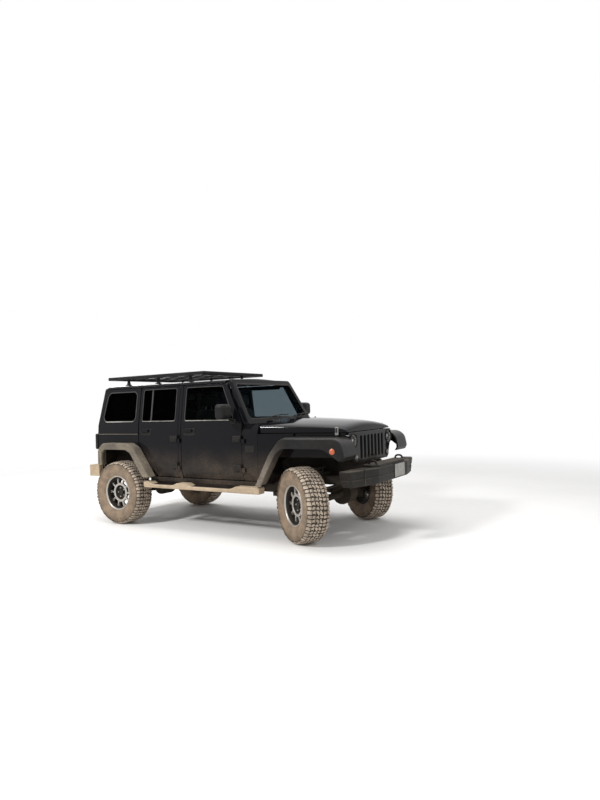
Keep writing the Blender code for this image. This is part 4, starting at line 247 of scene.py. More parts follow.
def tread_rubber(name):
    """Dry rubber: dust on the lug tops and the sidewall, and painted shade darkening the grooves."""
    shader = Shader(name)
    across = shader.add("ShaderNodeVectorMath", operation="MULTIPLY")
    across.inputs[1].default_value = (1.0, 1.0, 0.0)
    shader.link(shader.place, across.inputs[0])
    radius = shader.length(across.outputs[0])
    level = radius
    width = shader.math("ABSOLUTE", shader.axis(shader.place, "Z"), 0.5)
    for start, slope in TIP_FALLS:
        past = shader.math("SUBTRACT", width, start, clamp=True)
        level = shader.math("ADD", level, shader.math("MULTIPLY", past, slope))
    # Only lug tops take pale dust; the grooves keep the darker colour as painted shade.
    top = shader.ramp(level, 0.4225, 0.4275, 0.0, 0.90)
    wall = shader.ramp(radius, 0.375, 0.402, 0.62, 0.05)
    patches = shader.ramp(shader.noise(9.0, 6.0), 0.30, 0.70, 0.60, 1.25)
    fine = shader.ramp(shader.noise(130.0, 4.0), 0.30, 0.70, 0.75, 1.15)
    total = shader.math("MULTIPLY", shader.math("ADD", wall, top), patches)
    share = shader.math("MULTIPLY", total, fine, clamp=True)
    shader.put(Base_Color=shader.mix(share, SHADED_GROOVE, shader.mix(top, PALE_DUST, LUG_DUST)),
               Roughness=shader.ramp(share, 0.0, 0.8, 0.72, 0.95))
    shader.bump(shader.noise(420.0, 3.0), 0.25, 0.0006)
    return shader.material


def cloth(name, colour):
    """Woven seat cloth."""
    shader = Shader(name)
    warp, weft = (shader.noise(1400.0, 1.0, stretch=way) for way in ((1.0, 0.2, 1.0), (0.2, 1.0, 0.6)))
    pattern = shader.math("MULTIPLY", warp, weft)
    dark, pale = (tuple(value * share for value in colour) for share in (0.6, 1.5))
    shader.put(Base_Color=shader.mix(shader.ramp(pattern, 0.10, 0.40), dark, pale), Roughness=0.92,
               Sheen_Weight=0.15)
    shader.bump(pattern, 0.5, 0.0008)
    return shader.material


def pane(name, colour, passed, roughness=0.02, dusty=0.03):
    """Thin glass: each face passes most of the light through its colour and keeps a film of dust."""
    shader = Shader(name)
    share = shader.math("MULTIPLY", shader.ramp(shader.noise(6.0, 6.0), 0.35, 0.75, 0.2, 1.0), dusty)
    shader.put(Base_Color=shader.mix(share, colour, PALE_DUST), IOR=1.45, Specular_IOR_Level=0.0,
               Roughness=shader.ramp(share, 0.0, 0.5, roughness, 0.5))
    clear = shader.add("ShaderNodeBsdfTransparent")
    shader.link(passed, clear.inputs["Color"])
    shader.blend_with(GLASS_SHARE, clear)
    return shader.material


def lamp(name, colour):
    """Moulded lens with fine prisms."""
    shader = Shader(name)
    pattern = shader.noise(500.0, 1.0)
    dark = tuple(value * 0.8 for value in colour)
    shader.put(Base_Color=shader.mix(shader.ramp(pattern, 0.4, 0.6), dark, colour), Roughness=0.12,
               Coat_Weight=0.5)
    shader.bump(pattern, 0.2, 0.0004)
    return shader.material


# How far a lug's tip drops per metre of width past a start, as (start, slope)
TIP_FALLS = ((0.105, 0.55), (0.03, 0.06))

PAINT = paint("black_paint", (0.0055, 0.0055, 0.0070))
TRIM = plastic("trim_rubber", (0.030, 0.029, 0.028), 0.60, 0.05, 0.20, dust_colour=GREY_DUST)
# Seal: paler along the sill below z 1.412, which is dust and a painted highlight of the lit sill.
SEAL = plastic("window_seal", (0.042, 0.041, 0.040), 0.45, 0.03, 0.05, 900.0, 0.2, (1.404, 1.412, 0.85),
               (0.40, 0.38, 0.345))
FLARE = plastic("flare_plastic", (0.014, 0.0135, 0.0135), 0.30, 0.02, 0.04, 700.0, 0.20,
                (0.62, 1.24, 0.95), GREY_DUST, behind=(1.26, 1.42))
DUSTY_FLARE = plastic("flare_dusty", (0.060, 0.054, 0.047), 0.65, 0.34, 0.25, 700.0, 0.4,
                      (0.62, 1.30, 0.60), (0.27, 0.225, 0.170))
# Bumper: faces that look up pale strongly, which is dust and a painted highlight of its lit top.
BUMPER = plastic("bumper_plastic", (0.014, 0.013, 0.012), 0.50, 0.05, 0.60, 800.0, 0.3,
                 (0.60, 0.80, 0.06), GREY_DUST)
# Steps: faces that look up pale, which is dust and a painted highlight of their lit tops.
STEP = plastic("step_dusty", (0.320, 0.245, 0.170), 0.72, 0.40, 0.25, 600.0, 0.3, (0.45, 0.75, 0.30),
               (0.56, 0.445, 0.315))
BLACK = plastic("black_plastic", (0.013, 0.013, 0.013), 0.40, 0.03, 0.06, 1100.0, 0.2, (0.45, 1.2, 0.12))
POWDER = plastic("powder_coat", (0.013, 0.013, 0.014), 0.38, 0.02, 0.04, 900.0, 0.3, (0.3, 0.6, 0.1),
                 metallic=0.2)
CHASSIS = plastic("chassis_paint", (0.020, 0.018, 0.016), 0.68, 0.16, 0.22, 500.0, 0.4, (0.3, 0.9, 0.30),
                  metallic=0.2)
CABIN = plastic("cabin_plastic", (0.026, 0.026, 0.028), 0.60, 0.02, 0.03, 1200.0, 0.35, NO_FOOT)
SEAT = cloth("seat_cloth", (0.040, 0.039, 0.038))
RUBBER = tread_rubber("tyre_rubber")
MACHINED = brushed("rim_machined", (0.44, 0.43, 0.41), 0.34, 0.26, PALE_DUST)
RIM_DARK = plastic("rim_dark", (0.022, 0.020, 0.018), 0.50, 0.20, 0.0, 700.0, 0.15, NO_FOOT, metallic=0.4)
STEEL = brushed("bolt_steel", (0.50, 0.49, 0.47), 0.30, 0.10)
GREY_LATCH = plastic("latch_grey", (0.30, 0.29, 0.28), 0.45, 0.06, 0.05, 900.0, 0.2, NO_FOOT)
CHROME = brushed("mirror_chrome", (0.80, 0.80, 0.80), 0.10, 0.02)
PLATE = plastic("blank_plate", (0.33, 0.32, 0.30), 0.50, 0.08, 0.1, 900.0, 0.1, (0.5, 0.9, 0.15))
TINT = pane("tinted_glass", (0.010, 0.011, 0.012), (0.115, 0.115, 0.120))
FRONT_TINT = pane("front_tinted_glass", (0.010, 0.012, 0.013), (0.42, 0.45, 0.46))
CLEAR = pane("clear_glass", (0.030, 0.045, 0.055), (0.74, 0.80, 0.83))
LENS = pane("lamp_lens", (0.30, 0.31, 0.31), (0.82, 0.82, 0.82), 0.03, 0.04)
BOWL = brushed("lamp_bowl", (0.10, 0.10, 0.105), 0.18, 0.04)
BULB = lamp("lamp_bulb", (0.70, 0.68, 0.62))
AMBER = lamp("amber_lens", (0.46, 0.080, 0.013))
RED = lamp("red_lens", (0.42, 0.015, 0.012))
WHITE_LENS = lamp("white_lens", (0.55, 0.54, 0.51))
SMOKE_LENS = lamp("smoke_lens", (0.085, 0.083, 0.080))


# Outlines and paths
def rectangle(low_u, high_u, low_v, high_v):
    return [(low_u, low_v), (high_u, low_v), (high_u, high_v), (low_u, high_v)]


def turns(count, start=0.0):
    """Angles at equal steps round a circle."""
    return [start + 2 * math.pi * step / count for step in range(count)]


def polar(radius, angle, height):
    return radius * math.cos(angle), radius * math.sin(angle), height


def mirrored(half):
    """Line across the vehicle from its left half, which ends in the middle."""
    return half + [(-y, z) for y, z in reversed(half[:-1])]


def area(outline):
    return sum(a[0] * b[1] - b[0] * a[1] for a, b in zip(outline, outline[1:] + outline[:1])) / 2


def offset(outline, distance):
    """Move every edge of a flat outline inwards by a distance."""
    turn = math.copysign(1, area(outline))
    moved = []
    for index, point in enumerate(outline):
        here = Vector(point)
        before = (here - Vector(outline[index - 1])).normalized()
        after = (Vector(outline[(index + 1) % len(outline)]) - here).normalized()
        first = Vector((-before.y, before.x)) * turn
        second = Vector((-after.y, after.x)) * turn
        middle = (first + second).normalized()
        moved.append(tuple(here + middle * (distance / max(middle.dot(first), 0.3))))
    return moved


def rounded(outline, radius, steps=5):
    """Outline with its corners rounded: one radius for all of them or one for each."""
    radii = radius if isinstance(radius, list) else [radius] * len(outline)
    points = []
    for index, (point, wish) in enumerate(zip(outline, radii)):
        here = Vector(point)
        before = Vector(outline[index - 1]) - here
        after = Vector(outline[(index + 1) % len(outline)]) - here
        half = before.angle(after) / 2
        if wish <= 0 or half > math.pi / 2 - 0.02:
            points.append(tuple(here))
            continue
        run = min(wish / math.tan(half), before.length * 0.48, after.length * 0.48)
        real = run * math.tan(half)
        centre = here + (before.normalized() + after.normalized()).normalized() * (real / math.sin(half))
        start, end = here + before.normalized() * run - centre, here + after.normalized() * run - centre
        first, last = math.atan2(start.y, start.x), math.atan2(end.y, end.x)
        sweep = (last - first + math.pi) % (2 * math.pi) - math.pi
        for step in range(steps + 1):
            angle = first + sweep * step / steps
            points.append((centre.x + real * math.cos(angle), centre.y + real * math.sin(angle)))
    return points


def resampled(path, count):
    """Open path as a number of points at equal distances."""
    path = [Vector(point) for point in path]
    marks = [0.0]
    for here, there in zip(path, path[1:]):
        marks.append(marks[-1] + (there - here).length)
    points, segment = [], 0
    for step in range(count):
        mark = marks[-1] * step / (count - 1)
        while segment < len(path) - 2 and marks[segment + 1] < mark:
            segment += 1
        share = (mark - marks[segment]) / max(marks[segment + 1] - marks[segment], 1e-9)
        points.append(path[segment].lerp(path[segment + 1], min(share, 1.0)))
    return points


def smooth_path(points, steps):
    """Catmull-Rom curve through points."""
    points = [Vector(point) for point in points]
    padded = [points[0] * 2 - points[1]] + points + [points[-1] * 2 - points[-2]]
    curve = []
    for index in range(len(points) - 1):
        a, b, c, d = padded[index:index + 4]
        for step in range(steps):
            t = step / steps
            curve.append(((b * 2) + (c - a) * t + (a * 2 - b * 5 + c * 4 - d) * t * t
                          + (b * 3 - a - c * 3 + d) * t ** 3) / 2)
    return curve + [points[-1]]


def lerp(low, high, share):
    return low + (high - low) * share


def table_value(table, mark):
    """Straight-line value from a table of (mark, value) rows."""
    for (first, low), (second, high) in zip(table, table[1:]):
        if mark <= second:
            return lerp(low, high, min(max((mark - first) / (second - first), 0.0), 1.0))
    return table[-1][1]


def placed(at, angle, axis):
    """Matrix that turns about an axis and then moves to a place."""
    return Matrix.Translation(at) @ Matrix.Rotation(angle, 4, axis)


# Meshes and pieces
def mesh_of(form, name, sharp):
    """Smooth mesh of a bmesh, with the edges above an angle left sharp."""
    bmesh.ops.recalc_face_normals(form, faces=form.faces)
    for face in form.faces:
        face.smooth = True
    limit = math.radians(sharp)
    for edge in form.edges:
        edge.smooth = len(edge.link_faces) == 2 and edge.calc_face_angle(math.pi) < limit
    mesh = bpy.data.meshes.new(name)
    form.to_mesh(mesh)
    form.free()
    return mesh


def place_piece(mesh, name, material, body, matrix, weighted):
    """Put a mesh in the scene under a name, at a place, on a body."""
    if not mesh.materials:
        mesh.materials.append(material)
    piece = bpy.data.objects.new(name, mesh)
    bpy.context.scene.collection.objects.link(piece)
    if matrix is not None:
        piece.matrix_world = matrix
    if weighted:
        normals = piece.modifiers.new("face weights", "WEIGHTED_NORMAL")
        normals.keep_sharp = True
    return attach(piece, body)


def finish_piece(form, name, material, body, sharp=32.0, matrix=None, weighted=True):
    """Turn a bmesh into a named piece that rides on a body."""
    return place_piece(mesh_of(form, name, sharp), name, material, body, matrix, weighted)


def bridge(form, lower, upper, closed=True):
    """Faces between two rings of vertices."""
    count = len(lower)
    for index in range(count if closed else count - 1):
        after = (index + 1) % count
        form.faces.new((lower[index], lower[after], upper[after], upper[index]))


def stack(form, rings):
    """Solid through rings of points."""
    layers = [[form.verts.new(point) for point in ring] for ring in rings]
    for lower, upper in zip(layers, layers[1:]):
        bridge(form, lower, upper)
    form.faces.new(layers[0][::-1])
    form.faces.new(layers[-1])


def spin(form, profile, steps, closed=True):
    """Faces of a (radius, height) profile turned round Z."""
    rings = [[form.verts.new(polar(radius, angle, height)) for radius, height in profile]
             for angle in turns(steps)]
    for here, there in zip(rings, rings[1:] + rings[:1]):
        bridge(form, here, there, closed)
    if not closed:
        bmesh.ops.remove_doubles(form, verts=form.verts, dist=1e-6)
    return form


def loft(name, rings, material, sharp=32.0, body="root"):
    """Solid piece through rings of points."""
    form = bmesh.new()
    stack(form, rings)
    return finish_piece(form, name, material, body, sharp)


def revolve(name, profile, steps, material, matrix, body="root", closed=False, sharp=32.0):
    """Piece turned round Z: an open profile runs from axis to axis, a closed one is a ring's section."""
    return finish_piece(spin(bmesh.new(), profile, steps, closed), name, material, body, sharp, matrix)


def tube(name, path, radius, material, sides, smooth=0, body="root"):
    """Round bar along a path, closed at both ends."""
    path = smooth_path(path, smooth) if smooth else [Vector(point) for point in path]
    rings = []
    for index, point in enumerate(path):
        ahead = (path[min(index + 1, len(path) - 1)] - path[max(index - 1, 0)]).normalized()
        up = Vector((0, 0, 1)) if abs(ahead.z) < 0.9 else Vector((1, 0, 0))
        across = ahead.cross(up).normalized()
        over = across.cross(ahead)
        rings.append([point + (across * math.cos(a) + over * math.sin(a)) * radius for a in turns(sides)])
    return loft(name, rings, material, 50.0, body)


def block(name, low, high, material, edge, segments=2, body="root"):
    """Box with rounded edges."""
    form = bmesh.new()
    bmesh.ops.create_cube(form, size=1)
    middle, extent = (Vector(low) + Vector(high)) / 2, Vector(high) - Vector(low)
    for vert in form.verts:
        vert.co = middle + vert.co * extent
    bmesh.ops.bevel(form, geom=form.edges[:], offset=min(edge, min(abs(v) for v in extent) * 0.45),
                    segments=segments, profile=0.5, affect="EDGES")
    return finish_piece(form, name, material, body)


def side_block(name, x_range, y_range, z_range, side, material, edge, segments=2, body="root"):
    """Rounded box given for the left side and mirrored for the right one."""
    low_y, high_y = sorted(side * y for y in y_range)
    return block(name, (min(x_range), low_y, min(z_range)), (max(x_range), high_y, max(z_range)), material,
                 edge, segments, body)


def plate(name, outline, depth, place, material, edge, body="root", holes=(), levels=()):
    """Panel with rounded edges, cut to a flat outline and laid on a surface by place(u, v, depth)."""
    form = bmesh.new()
    angles = [math.radians(angle) for angle in (0, 30, 60, 90)]
    steps = [(edge * (1 - math.sin(a)), edge * (1 - math.cos(a))) for a in angles]
    steps += [(shift, depth - drop) for shift, drop in reversed(steps)]
    fronts, backs = [], []
    for loop, direction in [(outline, 1)] + [(hole, -1) for hole in holes]:
        rings = [[form.verts.new((u, v, -drop)) for u, v in offset(loop, direction * shift)]
                 for shift, drop in steps]
        for lower, upper in zip(rings, rings[1:]):
            bridge(form, lower, upper)
        for ring, store in ((rings[0], fronts), (rings[-1], backs)):
            store += [form.edges.get((ring[i], ring[(i + 1) % len(ring)])) for i in range(len(ring))]
    for edges in (fronts, backs):
        bmesh.ops.triangle_fill(form, use_beauty=True, edges=edges)
    for level in levels:
        bmesh.ops.bisect_plane(form, geom=form.verts[:] + form.edges[:] + form.faces[:], dist=1e-6,
                               plane_co=(0, level, 0), plane_no=(0, 1, 0))
    for vert in form.verts:
        vert.co = place(vert.co.x, vert.co.y, -vert.co.z)
    return finish_piece(form, name, material, body)


def refined(node, material, edge, segments):
    """Copy of a CAD node with its flats merged and its edges rounded, standing for that node."""
    source = NODES[node]
    form = bmesh.new()
    form.from_mesh(source.data)
    bmesh.ops.remove_doubles(form, verts=form.verts, dist=1e-5)
    bmesh.ops.dissolve_limit(form, angle_limit=math.radians(0.6), use_dissolve_boundaries=False,
                             verts=form.verts, edges=form.edges)
    if edge:
        limit = math.radians(26.0)
        chosen = [e for e in form.edges if len(e.link_faces) == 2 and e.calc_face_angle(0) > limit
                  and e.calc_length() > edge * 3]
        bmesh.ops.bevel(form, geom=chosen, offset=edge, segments=segments, profile=0.5, affect="EDGES",
                        clamp_overlap=True, loop_slide=True)
    piece = finish_piece(form, node + "_skin", material, source["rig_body"])
    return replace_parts(piece, node) or piece


# Body surface
SIDE_TABLE = [(DOOR_LOW, SILL_HALF), (0.722, 0.7665), (0.757, 0.7765), (TUCK, 0.7815), (0.812, 0.7845),
              (0.860, BODY_HALF), (1.170, BODY_HALF), (1.215, 0.7845), (1.250, 0.7832), (1.300, 0.7800),
              (BELT, BELT_HALF), (1.380, 0.7725), (1.403, 0.7690), (DOOR_TOP, DRIP_HALF)]
SIDE_LEVELS = [z for z, half in SIDE_TABLE[1:-1]]


def side_y(z):
    """Half width of the body's side at a height, rounded at its tuck, crease and belt."""
    return table_value(SIDE_TABLE, z)


def on_door(side):
    """Place for a door on the body's side. Its depth thins above the belt to that of a window frame."""
    def place(x, z, depth):
        wall = table_value([(BELT - 0.05, 1.0), (BELT + 0.02, FRAME_WALL / DOOR_WALL)], z)
        return Vector((x, side * (side_y(z) - depth * wall), z))
    return place


def on_side(side, lift):
    """Place on the body's side, lifted off it."""
    return lambda x, z, depth: Vector((x, side * (side_y(z) + lift - depth), z))


def upright(side, half, inwards=1):
    """Place on an upright plane along the vehicle."""
    return lambda x, z, depth: Vector((x, side * (half - inwards * depth), z))


def ahead_of(x):
    """Place on a plane across the vehicle that looks forward."""
    return lambda y, z, depth: Vector((x - depth, y, z))


def behind_of(x):
    """Place on a plane across the vehicle that looks back."""
    return lambda y, z, depth: Vector((x + depth, y, z))


def screen_x(z):
    """Front face of the windscreen frame at a height."""
    return lerp(0.765, 0.440, (z - BELT) / (SCREEN_TOP - BELT))


def screen_half(z):
    return lerp(0.742, 0.668, (z - BELT) / (SCREEN_TOP - BELT))


def on_screen(lift):
    """Place on the windscreen frame, lifted off it."""
    return lambda y, z, depth: Vector((screen_x(z) + lift - depth, y, z))


# Wheels
TYRE_CENTRE_Y = 0.795
KINGPIN_Y = 0.720
STEER_REST = math.radians(-32.0)
SPARE_CENTRE = (-2.175, 0.0, 1.120)
TIP_RADIUS = 0.4290
TREAD_RADIUS = 0.4150
PITCHES = 28
PITCH = 2 * math.pi / PITCHES
WHEEL_STEPS = 102
SPOKES = 10
NUTS = 5
TYRE_HALF_PROFILE = [
    (0.2235, 0.098), (0.2290, 0.1075), (0.2400, 0.1130), (0.2440, 0.1185), (0.2560, 0.1215), (0.2600, 0.1265),
    (0.2900, 0.1345), (0.2925, 0.1375), (0.3180, 0.1405), (0.3205, 0.1425), (0.3440, 0.1425), (0.3465, 0.1405),
    (0.3680, 0.1375), (0.3860, 0.1320), (0.3990, 0.1240), (0.4075, 0.1130), (0.4120, 0.0980),
    (0.4140, 0.0600), (TREAD_RADIUS, 0.0)]
RIM_BARREL = [
    (0.2100, -0.104), (0.2100, 0.020), (0.1980, 0.052), (0.2040, 0.078), (0.2130, 0.100), (0.2190, 0.108),
    (0.2215, 0.1045), (0.2215, -0.104)]
RIM_LIP = [
    (0.2150, 0.103), (0.2180, 0.111), (0.2230, 0.1165), (0.2300, 0.1172), (0.2350, 0.1150), (0.2360, 0.1095),
    (0.2340, 0.1060), (0.2230, 0.1054), (0.2180, 0.1020)]
RIM_RING = [(0.098, 0.040), (0.098, 0.064), (0.101, 0.068), (0.121, 0.070), (0.128, 0.068), (0.131, 0.064),
            (0.131, 0.040)]
HUB_BOWL = [
    (0.0, 0.0090), (0.080, 0.0090), (0.080, 0.0200), (0.098, 0.0400), (0.0985, 0.0600), (0.0940, 0.0600),
    (0.0880, 0.0420), (0.0780, 0.0300), (0.0480, 0.0260), (0.0360, 0.0300), (0.0345, 0.0480), (0.0300, 0.0530),
    (0.0, 0.0545)]
# Lugs on half of the tread, as (share of a pitch, distance from the middle)
TREAD_BLOCKS = [
    [(-0.50, 0.003), (-0.16, 0.003), (-0.10, 0.016), (0.02, 0.022), (-0.04, 0.042), (-0.30, 0.038),
     (-0.34, 0.026), (-0.56, 0.020)],
    [(0.00, 0.003), (0.34, 0.006), (0.40, 0.024), (0.30, 0.044), (0.10, 0.040), (0.14, 0.022), (0.04, 0.016)],
    [(-0.42, 0.047), (-0.14, 0.051), (0.02, 0.048), (0.07, 0.062), (-0.03, 0.070), (-0.05, 0.087),
     (-0.34, 0.085), (-0.31, 0.066)],
    [(0.14, 0.052), (0.42, 0.050), (0.48, 0.068), (0.40, 0.086), (0.10, 0.088), (0.14, 0.070)],
    [(-0.44, 0.093), (-0.06, 0.096), (0.00, 0.092), (0.06, 0.118), (0.02, 0.139), (-0.36, 0.139),
     (-0.40, 0.118)],
    [(0.16, 0.097), (0.46, 0.093), (0.50, 0.116), (0.46, 0.133), (0.20, 0.133), (0.14, 0.114)]]
# Bars on a sidewall, as (shares of a pitch, radii)
WALL_LUGS = [((-0.38, 0.02), (0.346, 0.398)), ((0.18, 0.46), (0.364, 0.398))]
CARCASS_TABLE = [(height, radius) for radius, height in reversed(TYRE_HALF_PROFILE) if radius >= 0.386]
WALL_TABLE = [(radius, height) for radius, height in TYRE_HALF_PROFILE if radius < 0.41]


def add_lug(form, outline, mirror, turn):
    """Tread block: an outline raised from the carcass, smaller at its top."""
    middle = Vector((sum(p[0] for p in outline), sum(p[1] for p in outline))) / len(outline)
    rings = []
    for scale, level in ((1.06, 0.0), (1.0, 0.55), (0.95, 0.93), (0.86, 1.0)):
        ring = []
        for along, width in outline:
            along = middle.x + (along - middle.x) * scale
            width = middle.y + (width - middle.y) * scale
            foot = table_value(CARCASS_TABLE, width) - 0.003
            tip = TIP_RADIUS - sum(slope * max(width - start, 0.0) for start, slope in TIP_FALLS)
            ring.append(polar(lerp(foot, tip, level), (turn + mirror * along) * PITCH, mirror * width))
        rings.append(ring)
    stack(form, rings)


def add_wall_lug(form, along_range, radius_range, mirror, turn):
    """Raised bar on the sidewall below a shoulder lug."""
    rings = []
    for lift, scale in ((-0.004, 1.08), (0.0045, 1.0), (0.0070, 0.88)):
        ring = []
        for along, out in rectangle(-0.5, 0.5, -0.5, 0.5):
            radius = lerp(*radius_range, 0.5 + out * scale)
            angle = (turn + mirror * lerp(*along_range, 0.5 + along * scale)) * PITCH
            ring.append(polar(radius, angle, mirror * (table_value(WALL_TABLE, radius) + lift)))
        rings.append(ring)
    stack(form, rings)


def tyre_form():
    profile = TYRE_HALF_PROFILE + [(radius, -height) for radius, height in reversed(TYRE_HALF_PROFILE[:-1])]
    form = spin(bmesh.new(), profile, WHEEL_STEPS)
    for index in range(PITCHES):
        for mirror, shift in ((1, 0.0), (-1, 0.45)):
            for outline in TREAD_BLOCKS:
                add_lug(form, outline, mirror, index + shift)
            for along_range, radius_range in WALL_LUGS:
                add_wall_lug(form, along_range, radius_range, mirror, index + shift)
    return form


def rim_face_form():
    """Hub ring with short spokes to the barrel, flared at their outer ends."""
    form = spin(bmesh.new(), RIM_RING, 80)
    for angle in turns(SPOKES):
        turn = Matrix.Rotation(angle, 4, "Z")
        rings = []
        for radius, half, top in ((0.118, 0.0115, 0.066), (0.140, 0.0105, 0.067), (0.170, 0.0120, 0.064),
                                  (0.190, 0.0165, 0.060), (0.206, 0.0230, 0.057)):
            low, shoulder, flat = top - 0.026, top - 0.003, half - 0.003
            section = [(-half, low), (-half, shoulder), (-flat, top), (flat, top), (half, shoulder), (half, low)]
            rings.append([turn @ Vector((radius, y, z)) for y, z in section])
        stack(form, rings)
    return form


def nut_form():
    form = bmesh.new()
    for turn in turns(NUTS, math.pi / NUTS):
        centre = Vector(polar(0.0635, turn, 0.0))
        levels = ((0.0115, 0.026), (0.0115, 0.044), (0.0085, 0.049), (0.0050, 0.0505))
        stack(form, [[centre + Vector(polar(radius, angle, height)) for angle in turns(6)]
                     for radius, height in levels])
    return form


def wheel_place(x, side, steer):
    """Wheel frame turned about the kingpin: local Z points out of the wheel's face."""
    kingpin = placed((x, side * KINGPIN_Y, AXLE_Z), steer, "Z")
    return kingpin @ placed((0, side * (TYRE_CENTRE_Y - KINGPIN_Y), 0), -side * math.pi / 2, "X")


def wheels():
    """Five wheels that share six meshes."""
    meshes = {
        "tyre": (mesh_of(tyre_form(), "tyre", 30.0), RUBBER),
        "barrel": (mesh_of(spin(bmesh.new(), RIM_BARREL, 80), "barrel", 40.0), RIM_DARK),
        "lip": (mesh_of(spin(bmesh.new(), RIM_LIP, 96), "lip", 60.0), MACHINED),
        "face": (mesh_of(rim_face_form(), "face", 35.0), MACHINED),
        "hub": (mesh_of(spin(bmesh.new(), HUB_BOWL, 60, closed=False), "hub", 35.0), RIM_DARK),
        "nuts": (mesh_of(nut_form(), "nuts", 30.0), STEEL)}
    places = [(f"{end}_{label}", wheel_place(x, side, steer), f"wheel_{end}_{label}")
              for end, x, steer in (("front", FRONT_AXLE, STEER_REST), ("rear", REAR_AXLE, 0.0))
              for side, label in SIDES]
    places += [("spare", placed(SPARE_CENTRE, -math.pi / 2, "Y"), "tailgate")]
    for label, matrix, body in places:
        for part, (mesh, material) in meshes.items():
            piece = place_piece(mesh, f"{part}_skin_{label}", material, body, matrix, part != "tyre")
            if part == "tyre":
                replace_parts(piece, f"tyre_{label}")
            if part == "face":
                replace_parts(piece, f"rim_{label}")


wheels()


# Doors
FRONT_HINGE_X = 0.679
REAR_HINGE_X = -0.361
FRONT_DOOR = [(FRONT_HINGE_X, DOOR_LOW), (FRONT_HINGE_X, BELT), (0.408, DOOR_TOP), (-0.305, DOOR_TOP),
              (-0.305, DOOR_LOW)]
FRONT_WINDOW = [(0.561, WINDOW_LOW), (0.352, WINDOW_TOP), (-0.249, WINDOW_TOP), (-0.249, WINDOW_LOW)]
REAR_DOOR = [(REAR_HINGE_X, DOOR_LOW), (REAR_HINGE_X, DOOR_TOP), (-1.083, DOOR_TOP), (-1.083, 1.0865),
             (-1.0535, 1.0637), (-0.7655, 0.6705), (-0.7615, DOOR_LOW)]
REAR_WINDOW = [(-0.417, WINDOW_LOW), (-0.417, WINDOW_TOP), (-1.030, WINDOW_TOP), (-1.030, WINDOW_LOW)]
DOORS = (("front", FRONT_DOOR, [0.020, 0.012, 0.045, 0.030, 0.020], FRONT_WINDOW, FRONT_HINGE_X, FRONT_TINT),
         ("rear", REAR_DOOR, [0.020, 0.030, 0.040, 0.020, 0.06, 0.010, 0.010], REAR_WINDOW, REAR_HINGE_X, TINT))
DIVIDER_X = -0.865
WINDOW_RADIUS = 0.030
MIRROR_Y = 0.9325
MIRROR_Z = 1.5075
MIRROR_ROWS = ((0.605, 0.45), (0.602, 0.66), (0.592, 0.83), (0.570, 0.95), (0.535, 1.00), (0.500, 0.985),
               (0.490, 0.965), (0.486, 0.94))


def seal(name, window, radii, grow, shrink, depth, lift, edge, side, body="root", steps=5):
    """Rubber seal round a window, standing a little proud."""
    outer, inner = (rounded(offset(window, -wider), [radius + wider for radius in radii], steps)
                    for wider in (grow, -shrink))
    plate(name, outer, depth, on_side(side, lift), SEAL, edge, body, [inner])


def bolt(name, centre, side, radius, body="root", axis="Y", material=BLACK):
    """Hexagon bolt on a washer, looking out along an axis."""
    form = bmesh.new()
    washer = ((radius * 1.35, -0.001), (radius * 1.35, 0.0010), (radius * 1.25, 0.0016))
    head = ((radius, 0.0012), (radius, 0.0050), (radius * 0.8, 0.0062))
    for sides, rows in ((20, washer), (6, head)):
        stack(form, [[polar(r, angle, height) for angle in turns(sides)] for r, height in rows])
    turn = {"X": (side, "Y"), "Y": (-side, "X"), "Z": (0, "Z")}[axis]
    matrix = placed(centre, turn[0] * math.pi / 2, turn[1])
    finish_piece(form, name, material, body, matrix=matrix)


def hinge_set(name, axis_x, side, body):
    """Strap hinges with their bolts and barrels, on the door."""
    for level, z in (("upper", 1.170), ("lower", 0.820)):
        label = f"{name}_{level}"
        side_block(f"{label}_strap", (axis_x - 0.122, axis_x - 0.014), (BODY_HALF - 0.004, BODY_HALF + 0.026),
                   (z - 0.040, z + 0.040), side, BLACK, 0.011, 3, body)
        y = side * (BODY_HALF + 0.026)
        tube(f"{label}_barrel", [(axis_x, y, z + 0.0008), (axis_x, y, z + 0.050)], 0.012, BLACK, 20, body=body)
        side_block(f"{label}_web", (axis_x - 0.024, axis_x - 0.004), (BODY_HALF + 0.008, BODY_HALF + 0.030),
                   (z + 0.003, z + 0.028), side, BLACK, 0.003, body=body)
        for index, along in enumerate((0.046, 0.094)):
            bolt(f"{label}_bolt_{index}", (axis_x - along, side * (BODY_HALF + 0.0255), z), side, 0.009, body)


def door_handle(name, rear_x, side, body):
    """Paddle handle over a dished cup, with a key barrel."""
    low_x, high_x = rear_x + 0.048, rear_x + 0.242
    cup = rounded(rectangle(low_x, high_x, 1.210, 1.304), 0.030)
    plate(f"{name}_cup", cup, 0.010, on_side(side, 0.005), BLACK, 0.004, body)
    grip = rounded(rectangle(low_x + 0.008, high_x - 0.034, 1.256, 1.297), 0.018)
    plate(f"{name}_grip", grip, 0.032, upright(side, BODY_HALF + 0.033), PAINT, 0.010, body)
    bolt(f"{name}_key", (high_x - 0.017, side * (BODY_HALF + 0.005), 1.262), side, 0.008, body,
         material=RIM_DARK)


